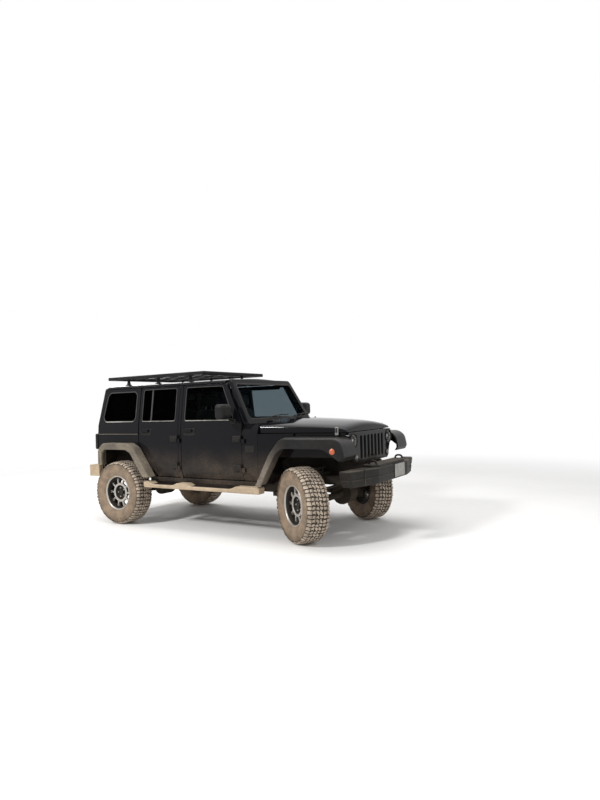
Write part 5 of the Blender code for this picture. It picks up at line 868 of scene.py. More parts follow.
def mirror(side, label):
    """Door mirror: a rounded shell on an arm with its glass facing back."""
    body = f"door_front_{label}"
    outline = rounded(rectangle(-0.1025, 0.1025, -0.0925, 0.0925), 0.042, 6)
    rings = [[(x, side * (MIRROR_Y + y * grow), MIRROR_Z + z * grow) for y, z in outline]
             for x, grow in MIRROR_ROWS]
    loft(f"mirror_shell_{label}", rings, BLACK, 60.0, body)
    glass = rounded(rectangle(-0.090, 0.090, -0.080, 0.080), 0.036, 6)
    plate(f"mirror_glass_{label}", glass, 0.004,
          lambda u, v, d: Vector((0.4845 + d, side * (MIRROR_Y + u), MIRROR_Z + v)), CHROME, 0.001, body)
    arm = [(0.555, 0.762, 1.385), (0.555, 0.800, 1.400), (0.552, 0.846, 1.418), (0.550, 0.872, 1.442)]
    tube(f"mirror_arm_{label}", [(x, side * y, z) for x, y, z in arm], 0.017, BLACK, 16, 5, body)
    side_block(f"mirror_foot_{label}", (0.520, 0.592), (0.752, 0.786), (1.352, 1.412), side, BLACK, 0.010, 3,
               body)


def door_trim(name, outline, side, body):
    """Inner trim of a door with an armrest and a pocket."""
    inner = []
    for x, z in offset(outline, 0.030):
        point = (x, min(z, 1.385))
        if not inner or math.dist(point, inner[-1]) > 1e-3:
            inner.append(point)
    plate(f"{name}_trim", rounded(inner, 0.03), 0.012, upright(side, BODY_HALF - 0.087, -1), CABIN, 0.004, body)
    xs = [x for x, z in inner]
    middle = (min(xs) + max(xs)) / 2
    side_block(f"{name}_armrest", (middle - 0.20, middle + 0.16), (0.655, 0.700), (1.060, 1.110), side, CABIN,
               0.016, 3, body)
    side_block(f"{name}_pocket", (middle - 0.18, middle + 0.20), (0.672, 0.700), (0.790, 0.900), side, CABIN,
               0.012, 3, body)


def doors():
    for side, label in SIDES:
        for end, outline, corners, window, hinge_x, glass in DOORS:
            body = f"door_{end}_{label}"
            skin = plate(f"{body}_skin", rounded(outline, corners), DOOR_WALL, on_door(side), PAINT, 0.0045,
                         body, [rounded(window, WINDOW_RADIUS)], SIDE_LEVELS)
            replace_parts(skin, body)
            seal(f"{body}_seal", window, [WINDOW_RADIUS] * 4, 0.005, 0.004, 0.009, 0.0035, 0.0016, side, body)
            piece = plate(f"{body}_pane", rounded(offset(window, 0.001), WINDOW_RADIUS), 0.005,
                          on_side(side, -0.014), glass, 0.0008, body)
            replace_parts(piece, f"door_glass_{end}_{label}")
            hinge_set(body, hinge_x, side, body)
            door_handle(f"{body}_handle", min(x for x, z in outline), side, body)
            door_trim(body, outline, side, body)
        bar = rectangle(DIVIDER_X - 0.011, DIVIDER_X + 0.011, 1.400, 1.832)
        plate(f"window_divider_{label}", bar, 0.014, on_side(side, -0.004), SEAL, 0.002, f"door_rear_{label}")
        mirror(side, label)


doors()


# Hard top, roof and windscreen
ROOF_SECTION = [(0.7020, 1.8660), (0.7010, 1.8780), (0.6930, 1.8920), (0.6760, 1.9020), (0.6500, 1.9070),
                (0.5600, 1.9140), (0.3800, 1.9240), (0.1900, 1.9310), (0.0, 1.9340)]
ROOF_WALL = 0.028
ROOF_FOOT = 1.8650
TOP_LEAN = 0.085 / (DOOR_TOP - BELT)
QUARTER_WINDOW = [(-1.154, WINDOW_LOW), (-1.154, 1.814), (-1.737, 1.814), (-1.822, WINDOW_LOW)]
QUARTER_RADII = [0.07, 0.07, 0.085, 0.075]
# Ends of the roof's halves, as (run from the end, drop of the skin)
ROUND_REAR = ((0.0, 0.052), (0.003, 0.036), (0.010, 0.021), (0.022, 0.010), (0.038, 0.003), (0.056, 0.0))
ROUND_FRONT = ((0.022, 0.0), (0.011, 0.003), (0.004, 0.008), (0.0, 0.016))
WIPER_Z = 1.392
WIPER_REACH = 0.46


def back_x(z, ahead=0.0):
    """Back of the hard top, which leans forward, at a height."""
    return TUB_REAR + TOP_LEAN * (z - BELT) + ahead


def roof_ring(x, drop, lean):
    """Closed section of the roof skin, its top lowered by a drop near an end."""
    outer = [(y, max(z - drop, ROOF_FOOT + 0.0005)) for y, z in ROOF_SECTION]
    inner = [(max(y - ROOF_WALL, 0.0), min(max(z - ROOF_WALL, ROOF_FOOT), top - 0.0004))
             for (y, z), (out, top) in zip(ROOF_SECTION, outer)]
    return [(x + lean * (z - DOOR_TOP), y, z) for y, z in mirrored(outer) + mirrored(inner)[::-1]]


def roof(name, rear_x, front_x, rear_ends, front_ends, lean):
    """Skin of one part of the roof: sections near its rear end, its middle and its front end."""
    rings = [roof_ring(rear_x + run, drop, lean) for run, drop in rear_ends]
    rings += [roof_ring(lerp(rear_x, front_x, share), 0.0, 0.0) for share in (0.25, 0.5, 0.75)]
    rings += [roof_ring(front_x - run, drop, 0.0) for run, drop in front_ends]
    return loft(name, rings, PAINT)


def hard_top():
    roof("hard_top_roof", back_x(DOOR_TOP), -0.3785, ROUND_REAR, ((0.003, 0.0), (0.0, 0.003)), TOP_LEAN)
    panel = roof("roof_panel_skin", -0.3765, 0.384, ((0.0, 0.003), (0.003, 0.0)), ROUND_FRONT, 0.0)
    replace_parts(panel, "roof_front_panel")
    rear, front = TUB_REAR + 0.0005, QUARTER_FRONT - 0.002
    wall = rounded([(rear, SEAM), (front, SEAM), (front, ROOF_FOOT), (back_x(ROOF_FOOT, 0.0005), ROOF_FOOT),
                    (rear, BELT)], [0.012, 0.012, 0.004, 0.004, 0.0])
    ledge = rectangle(TUB_REAR + 0.012, QUARTER_FRONT - 0.006, SEAM - 0.010, SEAM)
    for side, label in SIDES:
        plate(f"hard_top_side_{label}", wall, FRAME_WALL, on_side(side, 0.003), PAINT, 0.0045,
              holes=[rounded(QUARTER_WINDOW, QUARTER_RADII, 7)], levels=SIDE_LEVELS[7:])
        seal(f"quarter_seal_{label}", QUARTER_WINDOW, QUARTER_RADII, 0.007, 0.006, 0.010, 0.007, 0.002, side,
             steps=7)
        # Pale strip under the hard top's edge: dust on the seam's ledge and a painted highlight of its lit step.
        plate(f"seam_highlight_ledge_{label}", ledge, 0.008, on_side(side, 0.006), DUSTY_FLARE, 0.002)
        glass = plate(f"quarter_pane_{label}", rounded(offset(QUARTER_WINDOW, 0.001), QUARTER_RADII, 7), 0.005,
                      on_side(side, -0.006), TINT, 0.0008)
        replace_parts(glass, f"quarter_glass_{label}")
        plate(f"drip_rail_{label}", rectangle(-1.805, 0.395, 1.8668, 1.8790), 0.016, upright(side, 0.7145),
              PAINT, 0.003)
    outline = [(-0.7745, 1.3590), (0.7745, 1.3590), (0.7010, ROOF_FOOT), (-0.7010, ROOF_FOOT)]
    window = rectangle(-0.560, 0.560, WINDOW_LOW, WINDOW_TOP)
    back = plate("hard_top_rear", rounded(outline, 0.02), 0.029,
                 lambda u, v, d: Vector((back_x(v, d - 0.001), u, v)), PAINT, 0.004,
                 holes=[rounded(window, 0.05, 7)])
    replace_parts(back, "hard_top")
    glass = plate("rear_pane", rounded(offset(window, -0.030), 0.07, 7), 0.005,
                  lambda u, v, d: Vector((back_x(v, d - 0.009), u, v)), TINT, 0.0015)
    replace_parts(glass, "rear_glass")
    for side in (1, -1):
        hinge = [(back_x(1.846, -0.011), side * 0.36 + reach, 1.846) for reach in (-0.035, 0.035)]
        tube(f"rear_glass_hinge_{side + 1}", hinge, 0.010, BLACK, 16)
    arm = ((-0.028, 0.02, 1.395), (-0.030, 0.06, 1.440), (-0.030, 0.20, 1.560))
    tube("rear_wiper_arm", [(back_x(z, out), y, z) for out, y, z in arm], 0.006, BLACK, 10, 4)
    blade = ((0.02, 1.500), (0.20, 1.562), (0.36, 1.600))
    tube("rear_wiper_blade", [(back_x(z, -0.0165), y, z) for y, z in blade], 0.0065, TRIM, 8, 4)
    block("high_brake_lamp", (back_x(1.866, -0.014), -0.090, 1.858), (back_x(1.866, 0.012), 0.090, 1.876), RED,
          0.004)


def wiper_spot(y, rise, lift, up):
    """Point of a wiper: lifted off the glass as it lies a rise above the wipers' level."""
    return Vector((screen_x(WIPER_Z + rise) + lift, y, WIPER_Z + up))


def windscreen():
    low, top = 1.3465, 1.9140
    outline = [(-screen_half(low), low), (screen_half(low), low), (screen_half(top), top),
               (-screen_half(top), top)]
    opening = offset(outline, 0.062)
    skin = plate("screen_frame_skin", rounded(outline, [0.02, 0.02, 0.045, 0.045], 6), 0.052, on_screen(0.0),
                 PAINT, 0.006, holes=[rounded(opening, 0.045, 6)])
    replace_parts(skin, "windscreen_frame")
    glass = plate("screen_pane", rounded(offset(opening, 0.001), 0.045, 6), 0.006, on_screen(-0.012), CLEAR,
                  0.001)
    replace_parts(glass, "windscreen_glass")
    plate("screen_seal", rounded(offset(outline, 0.050), 0.05, 6), 0.012, on_screen(0.003), TRIM, 0.003,
          holes=[rounded(offset(outline, 0.070), 0.04, 6)])
    for index, y in enumerate((0.300, -0.250)):
        hub = wiper_spot(y, 0.0, 0.022, -0.040)
        tip = wiper_spot(y + WIPER_REACH * 0.62, 0.045, 0.012, 0.062)
        arm = [hub, hub.lerp(tip, 0.35) + Vector((0.008, 0, 0.004)), tip]
        tube(f"wiper_arm_{index}", arm, 0.006, BLACK, 10, 5)
        blade = [wiper_spot(y + 0.02, 0.012, 0.004, 0.030),
                 wiper_spot(y + WIPER_REACH * 0.5, 0.03, 0.005, 0.050),
                 wiper_spot(y + WIPER_REACH, 0.05, 0.004, 0.048)]
        tube(f"wiper_blade_{index}", blade, 0.0062, TRIM, 8, 5)
        revolve(f"wiper_hub_{index}", [(0.0, -0.020), (0.016, -0.020), (0.016, 0.004), (0.012, 0.010),
                                       (0.0, 0.012)], 24, BLACK, Matrix.Translation(hub))


hard_top()
windscreen()


# Bonnet, grille and lamps
BONNET_LEVEL = 1.330
BONNET_FOOT = 1.248
BONNET_CROWN = 0.074
BONNET_WALL = 0.016
BONNET_DROPS = [(0.921, 0.0), (1.200, 0.004), (1.450, 0.012), (1.700, 0.023), (1.860, 0.033), (1.935, 0.042),
                (1.972, 0.050), (1.996, 0.060), (2.008, 0.069), (2.015, 0.079)]
# Shape of the crown across the bonnet, as (share of the half width, share of the crown)
CROWN_SHARES = [(0.0, 1.0), (0.28, 0.92), (0.55, 0.66), (0.78, 0.36), (1.0, 0.0)]
LATCH_X = 1.900
SLOTS = 7
SLOT_PITCH = 0.098
LAMP_Y = 0.490
LAMP_Z = 1.135
LAMP_BORE = 0.0895


def bonnet_half(x):
    return lerp(0.735, 0.600, (x - COWL_FRONT) / (NOSE - COWL_FRONT))


def crown_at(drop):
    return BONNET_CROWN * (1 - drop / 0.20)


def bonnet_section(x, drop, tuck, shut):
    """Closed section of the bonnet skin; a shut one is filled, for the nose."""
    half, top, crown = bonnet_half(x) - tuck, BONNET_LEVEL - drop, crown_at(drop)
    outer = [(half, 1.2385), (half, BONNET_FOOT)]
    outer += [(half - inset, lerp(BONNET_FOOT, top, rise))
              for inset, rise in ((0.001, 0.50), (0.006, 0.78), (0.016, 0.94), (0.035, 1.0))]
    outer += [(half - 0.070, top + crown * 0.16)]
    outer += [(half * share, top + crown * rise) for share, rise in CROWN_SHARES[3::-1]]
    inner = [(max(y - BONNET_WALL, 0.0),
              z if index == 0 else max(0.0 if shut else z - BONNET_WALL, 1.2387 - index * 1e-5))
             for index, (y, z) in enumerate(outer)]
    return [(x, y, z) for y, z in mirrored(outer) + mirrored(inner)[::-1]]


def bonnet_top(x, y):
    """Height of the bonnet's skin at a place."""
    drop = table_value(BONNET_DROPS, x)
    return BONNET_LEVEL - drop + crown_at(drop) * table_value(CROWN_SHARES, y / bonnet_half(x))


def bonnet():
    rows = [(0.921, 0.0035, 0.003), (0.925, 0.0, 0.0)]
    rows += [(x, table_value(BONNET_DROPS, x), 0.0)
             for x in (1.06, 1.20, 1.33, 1.45, 1.58, 1.70, 1.79, 1.86, 1.90)]
    rows += [(x, drop, tuck) for (x, drop), tuck in zip(BONNET_DROPS[5:], (0.0, 0.001, 0.003, 0.006, 0.012))]
    skin = loft("bonnet_skin", [bonnet_section(x, drop, tuck, x > 1.96) for x, drop, tuck in rows], PAINT, 40.0,
                "bonnet")
    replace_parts(skin, "bonnet")
    latch_y = bonnet_half(LATCH_X)
    for side, label in SIDES:
        for name, x_range, y_range, z_range, material, edge in (
                ("latch", (LATCH_X - 0.020, LATCH_X + 0.020), (latch_y - 0.006, latch_y + 0.014),
                 (1.206, 1.298), GREY_LATCH, 0.007),
                ("latch_loop", (LATCH_X - 0.011, LATCH_X + 0.011), (latch_y + 0.010, latch_y + 0.020),
                 (1.236, 1.290), TRIM, 0.005),
                ("strap", (0.927, 1.005), (0.410, 0.460), (1.335, 1.378), BLACK, 0.007)):
            side_block(f"bonnet_{name}_{label}", x_range, y_range, z_range, side, material, edge, 3, "bonnet")
        barrel = [(0.9147, side * y, 1.378) for y in (0.411, 0.459)]
        tube(f"bonnet_barrel_{label}", barrel, 0.010, BLACK, 18, body="bonnet")
        side_block(f"bonnet_web_{label}", (0.9147, 0.935), (0.412, 0.458), (1.3732, 1.3775), side, BLACK, 0.001,
                   body="bonnet")
        for index, x in enumerate((0.955, 0.985)):
            bolt(f"bonnet_bolt_{label}_{index}", (x, side * 0.435, 1.3775), side, 0.007, "bonnet", "Z")
        for name, x, y, steps, profile in (
                ("washer_jet", 1.120, 0.250, 20,
                 [(0.0, -0.008), (0.014, -0.008), (0.0135, 0.006), (0.009, 0.014), (0.0, 0.016)]),
                ("bonnet_bumper", 1.000, 0.180, 24,
                 [(0.0, -0.010), (0.021, -0.010), (0.020, 0.008), (0.014, 0.018), (0.0, 0.021)])):
            revolve(f"{name}_{label}", profile, steps, BLACK,
                    Matrix.Translation((x, side * y, bonnet_top(x, y))), "bonnet")


def grille():
    middles = [(index - SLOTS // 2) * SLOT_PITCH for index in range(SLOTS)]
    slots = [rounded(rectangle(y - 0.026, y + 0.026, 0.915, 1.185), 0.022) for y in middles]
    lamps = [[(side * LAMP_Y + LAMP_BORE * math.cos(a), LAMP_Z + LAMP_BORE * math.sin(a)) for a in turns(48)]
             for side, label in SIDES]
    half = [(0.470, 0.870), (0.598, 1.196), (0.562, 1.232)]
    outline = half + [(-y, z) for y, z in reversed(half)]
    skin = plate("grille_skin", rounded(outline, [0.05, 0.03, 0.03, 0.03, 0.03, 0.05]), 0.049,
                 ahead_of(2.0450), PAINT, 0.007, holes=slots + lamps)
    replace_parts(skin, "grille")
    for index, y in enumerate(middles):
        ring = rounded(rectangle(y - 0.0275, y + 0.0275, 0.9135, 1.1865), 0.0235)
        hole = rounded(rectangle(y - 0.022, y + 0.022, 0.919, 1.181), 0.018)
        plate(f"grille_ring_{index}", ring, 0.030, ahead_of(2.0345), BLACK, 0.002, holes=[hole])
        for bar in range(9):
            z = 0.945 + bar * 0.030
            block(f"grille_bar_{index}_{bar}", (2.006, y - 0.0235, z - 0.0025), (2.012, y + 0.0235, z + 0.0025),
                  BLACK, 0.001, 1)
    for side, label in SIDES:
        headlamp(side, label)
        turn = placed((2.045, side * 0.440, 0.935), math.pi / 2, "Y")
        revolve(f"turn_lamp_ring_{label}", [(0.036, -0.004), (0.0415, -0.004), (0.0415, 0.006), (0.039, 0.009),
                                            (0.036, 0.008)], 40, BLACK, turn, closed=True)
        revolve(f"turn_lamp_{label}", [(0.0, -0.002), (0.0358, -0.002), (0.0355, 0.007), (0.030, 0.012),
                                       (0.018, 0.0155), (0.0, 0.017)], 40, SMOKE_LENS, turn)


def headlamp(side, label):
    """Round lamp: a ring, a bowl with a bulb and its shield, and a domed lens."""
    place = placed((1.996, side * LAMP_Y, LAMP_Z), math.pi / 2, "Y")
    for name, profile, steps, material, closed in (
            ("ring", [(0.0760, 0.046), (0.0885, 0.046), (0.0885, 0.052), (0.0870, 0.057), (0.0830, 0.060),
                      (0.0780, 0.058), (0.0765, 0.053)], 64, BLACK, True),
            ("trim", [(0.0500, 0.030), (0.0660, 0.044), (0.0680, 0.0500), (0.0650, 0.0515), (0.0560, 0.046),
                      (0.0490, 0.036)], 64, GREY_LATCH, True),
            ("bowl", [(0.0, 0.006), (0.020, 0.007), (0.045, 0.016), (0.064, 0.032), (0.0755, 0.050),
                      (0.0775, 0.050), (0.0660, 0.029), (0.046, 0.012), (0.020, 0.003), (0.0, 0.002)], 64, BOWL,
             False),
            ("bulb", [(0.0, 0.007), (0.016, 0.007), (0.017, 0.028), (0.012, 0.036), (0.0, 0.039)], 32, BULB,
             False),
            ("shield", [(0.014, 0.030), (0.024, 0.034), (0.024, 0.038), (0.013, 0.041), (0.0, 0.042),
                        (0.0, 0.040), (0.012, 0.036)], 32, CHROME, False)):
        revolve(f"lamp_{name}_{label}", profile, steps, material, place, closed=closed)
    lens = revolve(f"lamp_lens_{label}", [
        (0.0, 0.0655), (0.020, 0.0650), (0.040, 0.0630), (0.058, 0.0600), (0.070, 0.0560), (0.0770, 0.0510),
        (0.0765, 0.0490), (0.069, 0.0540), (0.057, 0.0578), (0.040, 0.0606), (0.020, 0.0626), (0.0, 0.0632)],
        64, LENS, place)
    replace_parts(lens, f"headlamp_{label}")


bonnet()
grille()


# Wheel arch flares
FRONT_OUTER = [(0.955, 0.630), (1.160, 1.000), (1.300, 1.165), (1.365, 1.195), (2.020, 1.190), (2.105, 1.130),
               (2.135, 0.990), (2.105, 0.945)]
FRONT_INNER = [(1.040, 0.630), (1.135, 0.800), (1.250, 1.000), (1.335, 1.070), (1.885, 1.070), (1.985, 1.000),
               (2.070, 0.945)]
REAR_OUTER = [(-0.782, 0.668), (-1.062, 1.050), (-1.187, 1.110), (-1.675, 1.110), (-1.775, 1.022),
              (-1.775, 0.810)]
REAR_INNER = [(-0.891, 0.668), (-1.118, 0.978), (-1.206, 1.022), (-1.639, 1.022), (-1.687, 0.980),
              (-1.687, 0.810)]
FLARE_STATIONS = 60
FLARE_WALL = 0.022
FLARE_LIP = 0.030
FLARE_ROUND = 0.024
LIP_ROUND = 0.006


def flare_ring(outer, inner, side, y_in):
    """Section of a flare between its outer and inner path at one station."""
    band = (inner - outer).length
    into = (inner - outer).normalized()
    points = [(0.0, y_in), (0.0, FLARE_HALF - FLARE_ROUND)]
    points += [(FLARE_ROUND * (1 - math.cos(a)), FLARE_HALF - FLARE_ROUND * (1 - math.sin(a)))
               for a in (math.radians(t) for t in (22.5, 45, 67.5))]
    points += [(FLARE_ROUND, FLARE_HALF), (band - LIP_ROUND, FLARE_HALF),
               (band - LIP_ROUND * 0.3, FLARE_HALF - LIP_ROUND * 0.3), (band, FLARE_HALF - LIP_ROUND),
               (band, FLARE_HALF - FLARE_LIP), (FLARE_WALL, FLARE_HALF - FLARE_LIP), (FLARE_WALL, y_in)]
    return [(outer.x + into.x * run, side * y, outer.y + into.y * run) for run, y in points]


def flares():
    front, front_in = (resampled(rounded(path, radii, 6), FLARE_STATIONS) for path, radii in (
        (FRONT_OUTER, [0, 0.30, 0.14, 0.10, 0.20, 0.12, 0.05, 0]),
        (FRONT_INNER, [0, 0.20, 0.18, 0.14, 0.16, 0.12, 0])))
    rear, rear_in = (resampled(rounded(path, radii, 6), FLARE_STATIONS) for path, radii in (
        (REAR_OUTER, [0, 0.10, 0.09, 0.10, 0.10, 0]), (REAR_INNER, [0, 0.06, 0.05, 0.04, 0.04, 0])))
    feet = [max(0.5995, bonnet_half(max(min(here.x, NOSE), COWL_FRONT - 0.05)) - 0.019) for here in front]
    for side, label in SIDES:
        rings = [flare_ring(here, there, side, foot) for here, there, foot in zip(front, front_in, feet)]
        skin = loft(f"flare_front_skin_{label}", rings, FLARE, 40.0)
        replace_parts(skin, f"flare_front_{label}")
        rings = [flare_ring(here, there, side, 0.7856) for here, there in zip(rear, rear_in)]
        skin = loft(f"flare_rear_skin_{label}", rings, DUSTY_FLARE, 40.0)
        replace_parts(skin, f"flare_rear_{label}")
        place = placed((2.000, side * 0.924, 1.048), -side * math.pi / 2, "X")
        revolve(f"flare_marker_{label}", [(0.0, -0.002), (0.034, -0.002), (0.0335, 0.005), (0.027, 0.010),
                                          (0.015, 0.013), (0.0, 0.014)], 36, AMBER, place)
        revolve(f"flare_marker_ring_{label}", [(0.0335, -0.002), (0.040, -0.002), (0.039, 0.004),
                                               (0.0345, 0.006)], 36, BLACK, place, closed=True)


# Bumpers and side steps
BUMPER_PLAN = [(2.315, 0.430), (2.271, 0.640), (2.195, 0.940), (2.055, 0.918), (2.077, 0.640), (2.112, 0.452)]
BUMPER_RADII = [0.16, 0.16, 0.030, 0.030, 0.15, 0.10]
BUMPER_LEVELS = ((0.022, 0.655), (0.009, 0.6585), (0.002, 0.667), (0.0, 0.678), (0.0, 0.730), (0.006, 0.736),
                 (0.006, 0.744), (0.0, 0.750), (0.0, 0.812), (0.002, 0.823), (0.009, 0.8315), (0.022, 0.835))
CENTRE_PLAN = [(2.302, 0.370), (2.240, 0.455), (2.125, 0.455), (2.125, -0.455), (2.240, -0.455), (2.302, -0.370)]
CENTRE_LEVELS = ((0.0, 0.832), (0.0, 0.852), (0.003, 0.861), (0.010, 0.866))
HOOK_Y = 0.385
HOOK_PATH = ((2.262, 0.832), (2.268, 0.878), (2.245, 0.902), (2.200, 0.902), (2.178, 0.878), (2.184, 0.832))
STEP_REAR = -0.877
STEP_FRONT = 1.010
STEP_STATIONS = 120
# Depth of the treads along a step, as (share of its length, share of a dip)
STEP_DIPS = [(0.00, 0.0), (0.045, 0.0), (0.085, 1.0), (0.275, 1.0), (0.318, 0.0), (0.392, 0.0), (0.435, 1.0),
             (0.775, 1.0), (0.820, 0.0), (1.00, 0.0)]


def tapered(y, z):
    """Bumper's half width at a height: its ends slant inwards towards their lower edge."""
    return y * (1 - 0.085 * (0.835 - z) / 0.180 * max(0.0, (abs(y) - 0.60) / 0.33))


def front_bumper():
    plan = rounded(BUMPER_PLAN + [(x, -y) for x, y in reversed(BUMPER_PLAN)],
                   BUMPER_RADII + BUMPER_RADII[::-1], 7)
    skin = loft("front_bumper_skin", [[(x, tapered(y, z), z) for x, y in offset(plan, shift)]
                                      for shift, z in BUMPER_LEVELS], BUMPER, 36.0)
    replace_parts(skin, "front_bumper")
    centre = rounded(CENTRE_PLAN, 0.03)
    loft("bumper_centre", [[(x, y, z) for x, y in offset(centre, shift)] for shift, z in CENTRE_LEVELS],
         BUMPER, 36.0)
    for side, label in SIDES:
        side_block(f"bumper_cap_seam_{label}", (2.080, 2.268), (0.668, 0.674), (0.672, 0.838), side, TRIM, 0.002)
        tube(f"tow_hook_{label}", [(x, side * HOOK_Y, z) for x, z in HOOK_PATH], 0.0115, BLACK, 14, 6)
        for index, x in enumerate((2.262, 2.184)):
            side_block(f"tow_hook_foot_{label}_{index}", (x - 0.024, x + 0.024),
                       (HOOK_Y - 0.026, HOOK_Y + 0.026), (0.834, 0.843), side, BLACK, 0.003)
    plate("plate_holder", rounded(rectangle(0.010, 0.340, 0.664, 0.836), 0.014, 4), 0.008, ahead_of(2.3195),
          BLACK, 0.002)
    plate("blank_front_plate", rounded(rectangle(0.022, 0.328, 0.674, 0.826), 0.010, 4), 0.003, ahead_of(2.3215),
          PLATE, 0.001)


def rear_bumper():
    refined("rear_bumper", STEP, 0.014, 3)
    for side, label in SIDES:
        side_block(f"rear_bumper_pad_{label}", (-2.0295, -2.015), (0.300, 0.620), (0.690, 0.745), side, TRIM,
                   0.005)
        side_block(f"rear_reflector_{label}", (-2.0285, -2.018), (0.700, 0.790), (0.700, 0.732), side, RED, 0.004)
    plate("blank_rear_plate", rounded(rectangle(-0.16, 0.16, 0.660, 0.775), 0.010, 4), 0.004, behind_of(-2.0305),
          PLATE, 0.001)


def step_ring(share, side):
    """Section of a side step at a share of its length, lower where a foot stands and smaller at its ends."""
    dip = table_value(STEP_DIPS, share)
    dip = dip * dip * (3 - 2 * dip)
    top = 0.610 - 0.030 * dip
    section = rounded([(0.790, 0.530), (0.914 - 0.006 * dip, 0.530), (0.920, top), (0.790, top)],
                      [0.010, 0.016, 0.016, 0.010], 4)
    shrink = max(0.0, 0.012 - min(share, 1 - share) * (STEP_FRONT - STEP_REAR)) * 0.8
    x = lerp(STEP_REAR, STEP_FRONT, share)
    return [(x, side * y, z) for y, z in offset(section, shrink)]


def side_steps():
    for side, label in SIDES:
        rings = [step_ring(index / STEP_STATIONS, side) for index in range(STEP_STATIONS + 1)]
        skin = loft(f"side_step_skin_{label}", rings, STEP, 36.0)
        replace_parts(skin, f"side_step_{label}")
        for index, shares in enumerate(((0.092, 0.268), (0.442, 0.768))):
            low, high = (lerp(STEP_REAR, STEP_FRONT, share) for share in shares)
            side_block(f"step_pad_{label}_{index}", (low, high), (0.812, 0.906), (0.576, 0.5835), side, BLACK,
                       0.003)
            ribs = int((high - low) / 0.030)
            for rib in range(ribs):
                x = low + 0.018 + rib * (high - low - 0.036) / (ribs - 1)
                side_block(f"step_rib_{label}_{index}_{rib}", (x - 0.005, x + 0.005), (0.820, 0.898),
                           (0.582, 0.5875), side, BLACK, 0.002, 1)
        for index, share in enumerate((1 / 6, 5 / 6)):
            x = lerp(STEP_REAR, STEP_FRONT, share)
            side_block(f"step_bracket_{label}_{index}", (x - 0.030, x + 0.030), (0.4303, 0.830),
                       (0.5303, 0.560), side, CHASSIS, 0.004)


# Roof rack
RACK_LOW = 1.996
RACK_TOP = 2.041
RACK_REAR = -1.817
RACK_FRONT = 0.010
RACK_HALF = 0.670
RIM_HALF = 0.0225
RACK_ROWS = 5
# A foot's sections, as (half length, half width, height)
FOOT_ROWS = ((0.034, 0.036, 1.9155), (0.034, 0.036, 1.922), (0.025, 0.020, 1.930), (0.020, 0.014, 1.960),
             (0.020, 0.014, 2.005), (0.026, 0.022, 2.0165))


def roof_rack():
    for side, label in SIDES:
        rim = side_block(f"rack_rim_{label}", (RACK_REAR + 0.010, RACK_FRONT - 0.010),
                         (RACK_HALF - 2 * RIM_HALF, RACK_HALF), (RACK_LOW, RACK_TOP), side, POWDER, 0.009, 3)
        if side == 1:
            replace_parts(rim, "roof_rack")
        for index, x in enumerate((-1.498, -0.906, -0.312)):
            rings = [[(x + u, side * (0.560 + v), z) for u, v in rounded(rectangle(-w, w, -d, d), 0.008, 3)]
                     for w, d, z in FOOT_ROWS]
            loft(f"rack_foot_{label}_{index}", rings, POWDER, 40.0)
            for end, step in enumerate((-0.026, 0.026)):
                bolt(f"rack_bolt_{label}_{index}_{end}", (x + step, side * 0.585, 1.9215), side, 0.006, axis="Z")
    for label, x in (("rear", RACK_REAR + RIM_HALF), ("front", RACK_FRONT - RIM_HALF)):
        block(f"rack_rim_{label}", (x - RIM_HALF, 0.012 - RACK_HALF, RACK_LOW),
              (x + RIM_HALF, RACK_HALF - 0.012, RACK_TOP), POWDER, 0.009, 3)
    half, low_x, high_x = RACK_HALF - RIM_HALF, RACK_REAR + RIM_HALF, RACK_FRONT - RIM_HALF
    shares = [(row + 1) / (RACK_ROWS + 1) for row in range(RACK_ROWS)]
    ys = [lerp(-half, half, share) for share in shares]
    for index, y in enumerate(ys):
        block(f"rack_plank_{index}", (RACK_REAR + 0.040, y - 0.020, 2.0270),
              (RACK_FRONT - 0.040, y + 0.020, 2.0395), POWDER, 0.004)
        for end, groove in enumerate((-0.009, 0.009)):
            block(f"rack_groove_{index}_{end}", (RACK_REAR + 0.046, y + groove - 0.002, 2.0385),
                  (RACK_FRONT - 0.046, y + groove + 0.002, 2.0405), BLACK, 0.0008, 1)
    for index, share in enumerate(shares):
        x = lerp(low_x, high_x, share)
        block(f"rack_bar_{index}", (x - 0.016, 0.020 - RACK_HALF, 2.0160),
              (x + 0.016, RACK_HALF - 0.020, 2.0280), POWDER, 0.004)
        for row, y in enumerate(ys):
            bolt(f"rack_screw_{index}_{row}", (x, y, 2.0392), 1, 0.005, axis="Z", material=STEEL)


# Tailgate, lamps and rest of the body
CARRIER_BOLTS = 5
TAIL_LENSES = ((1.030, 1.082, WHITE_LENS), (1.090, 1.142, AMBER), (1.150, 1.220, RED))
CAD_SKINS = (("body_tub", PAINT, 0.003), ("chassis_frame", CHASSIS, 0.004), ("engine_block", CHASSIS, 0.006),
             ("front_axle", CHASSIS, 0.003), ("rear_axle", CHASSIS, 0.003), ("sport_bar", POWDER, 0.0),
             ("knuckle_left", CHASSIS, 0.003), ("knuckle_right", CHASSIS, 0.003), ("tie_rod", CHASSIS, 0.0))
SLATS = 26


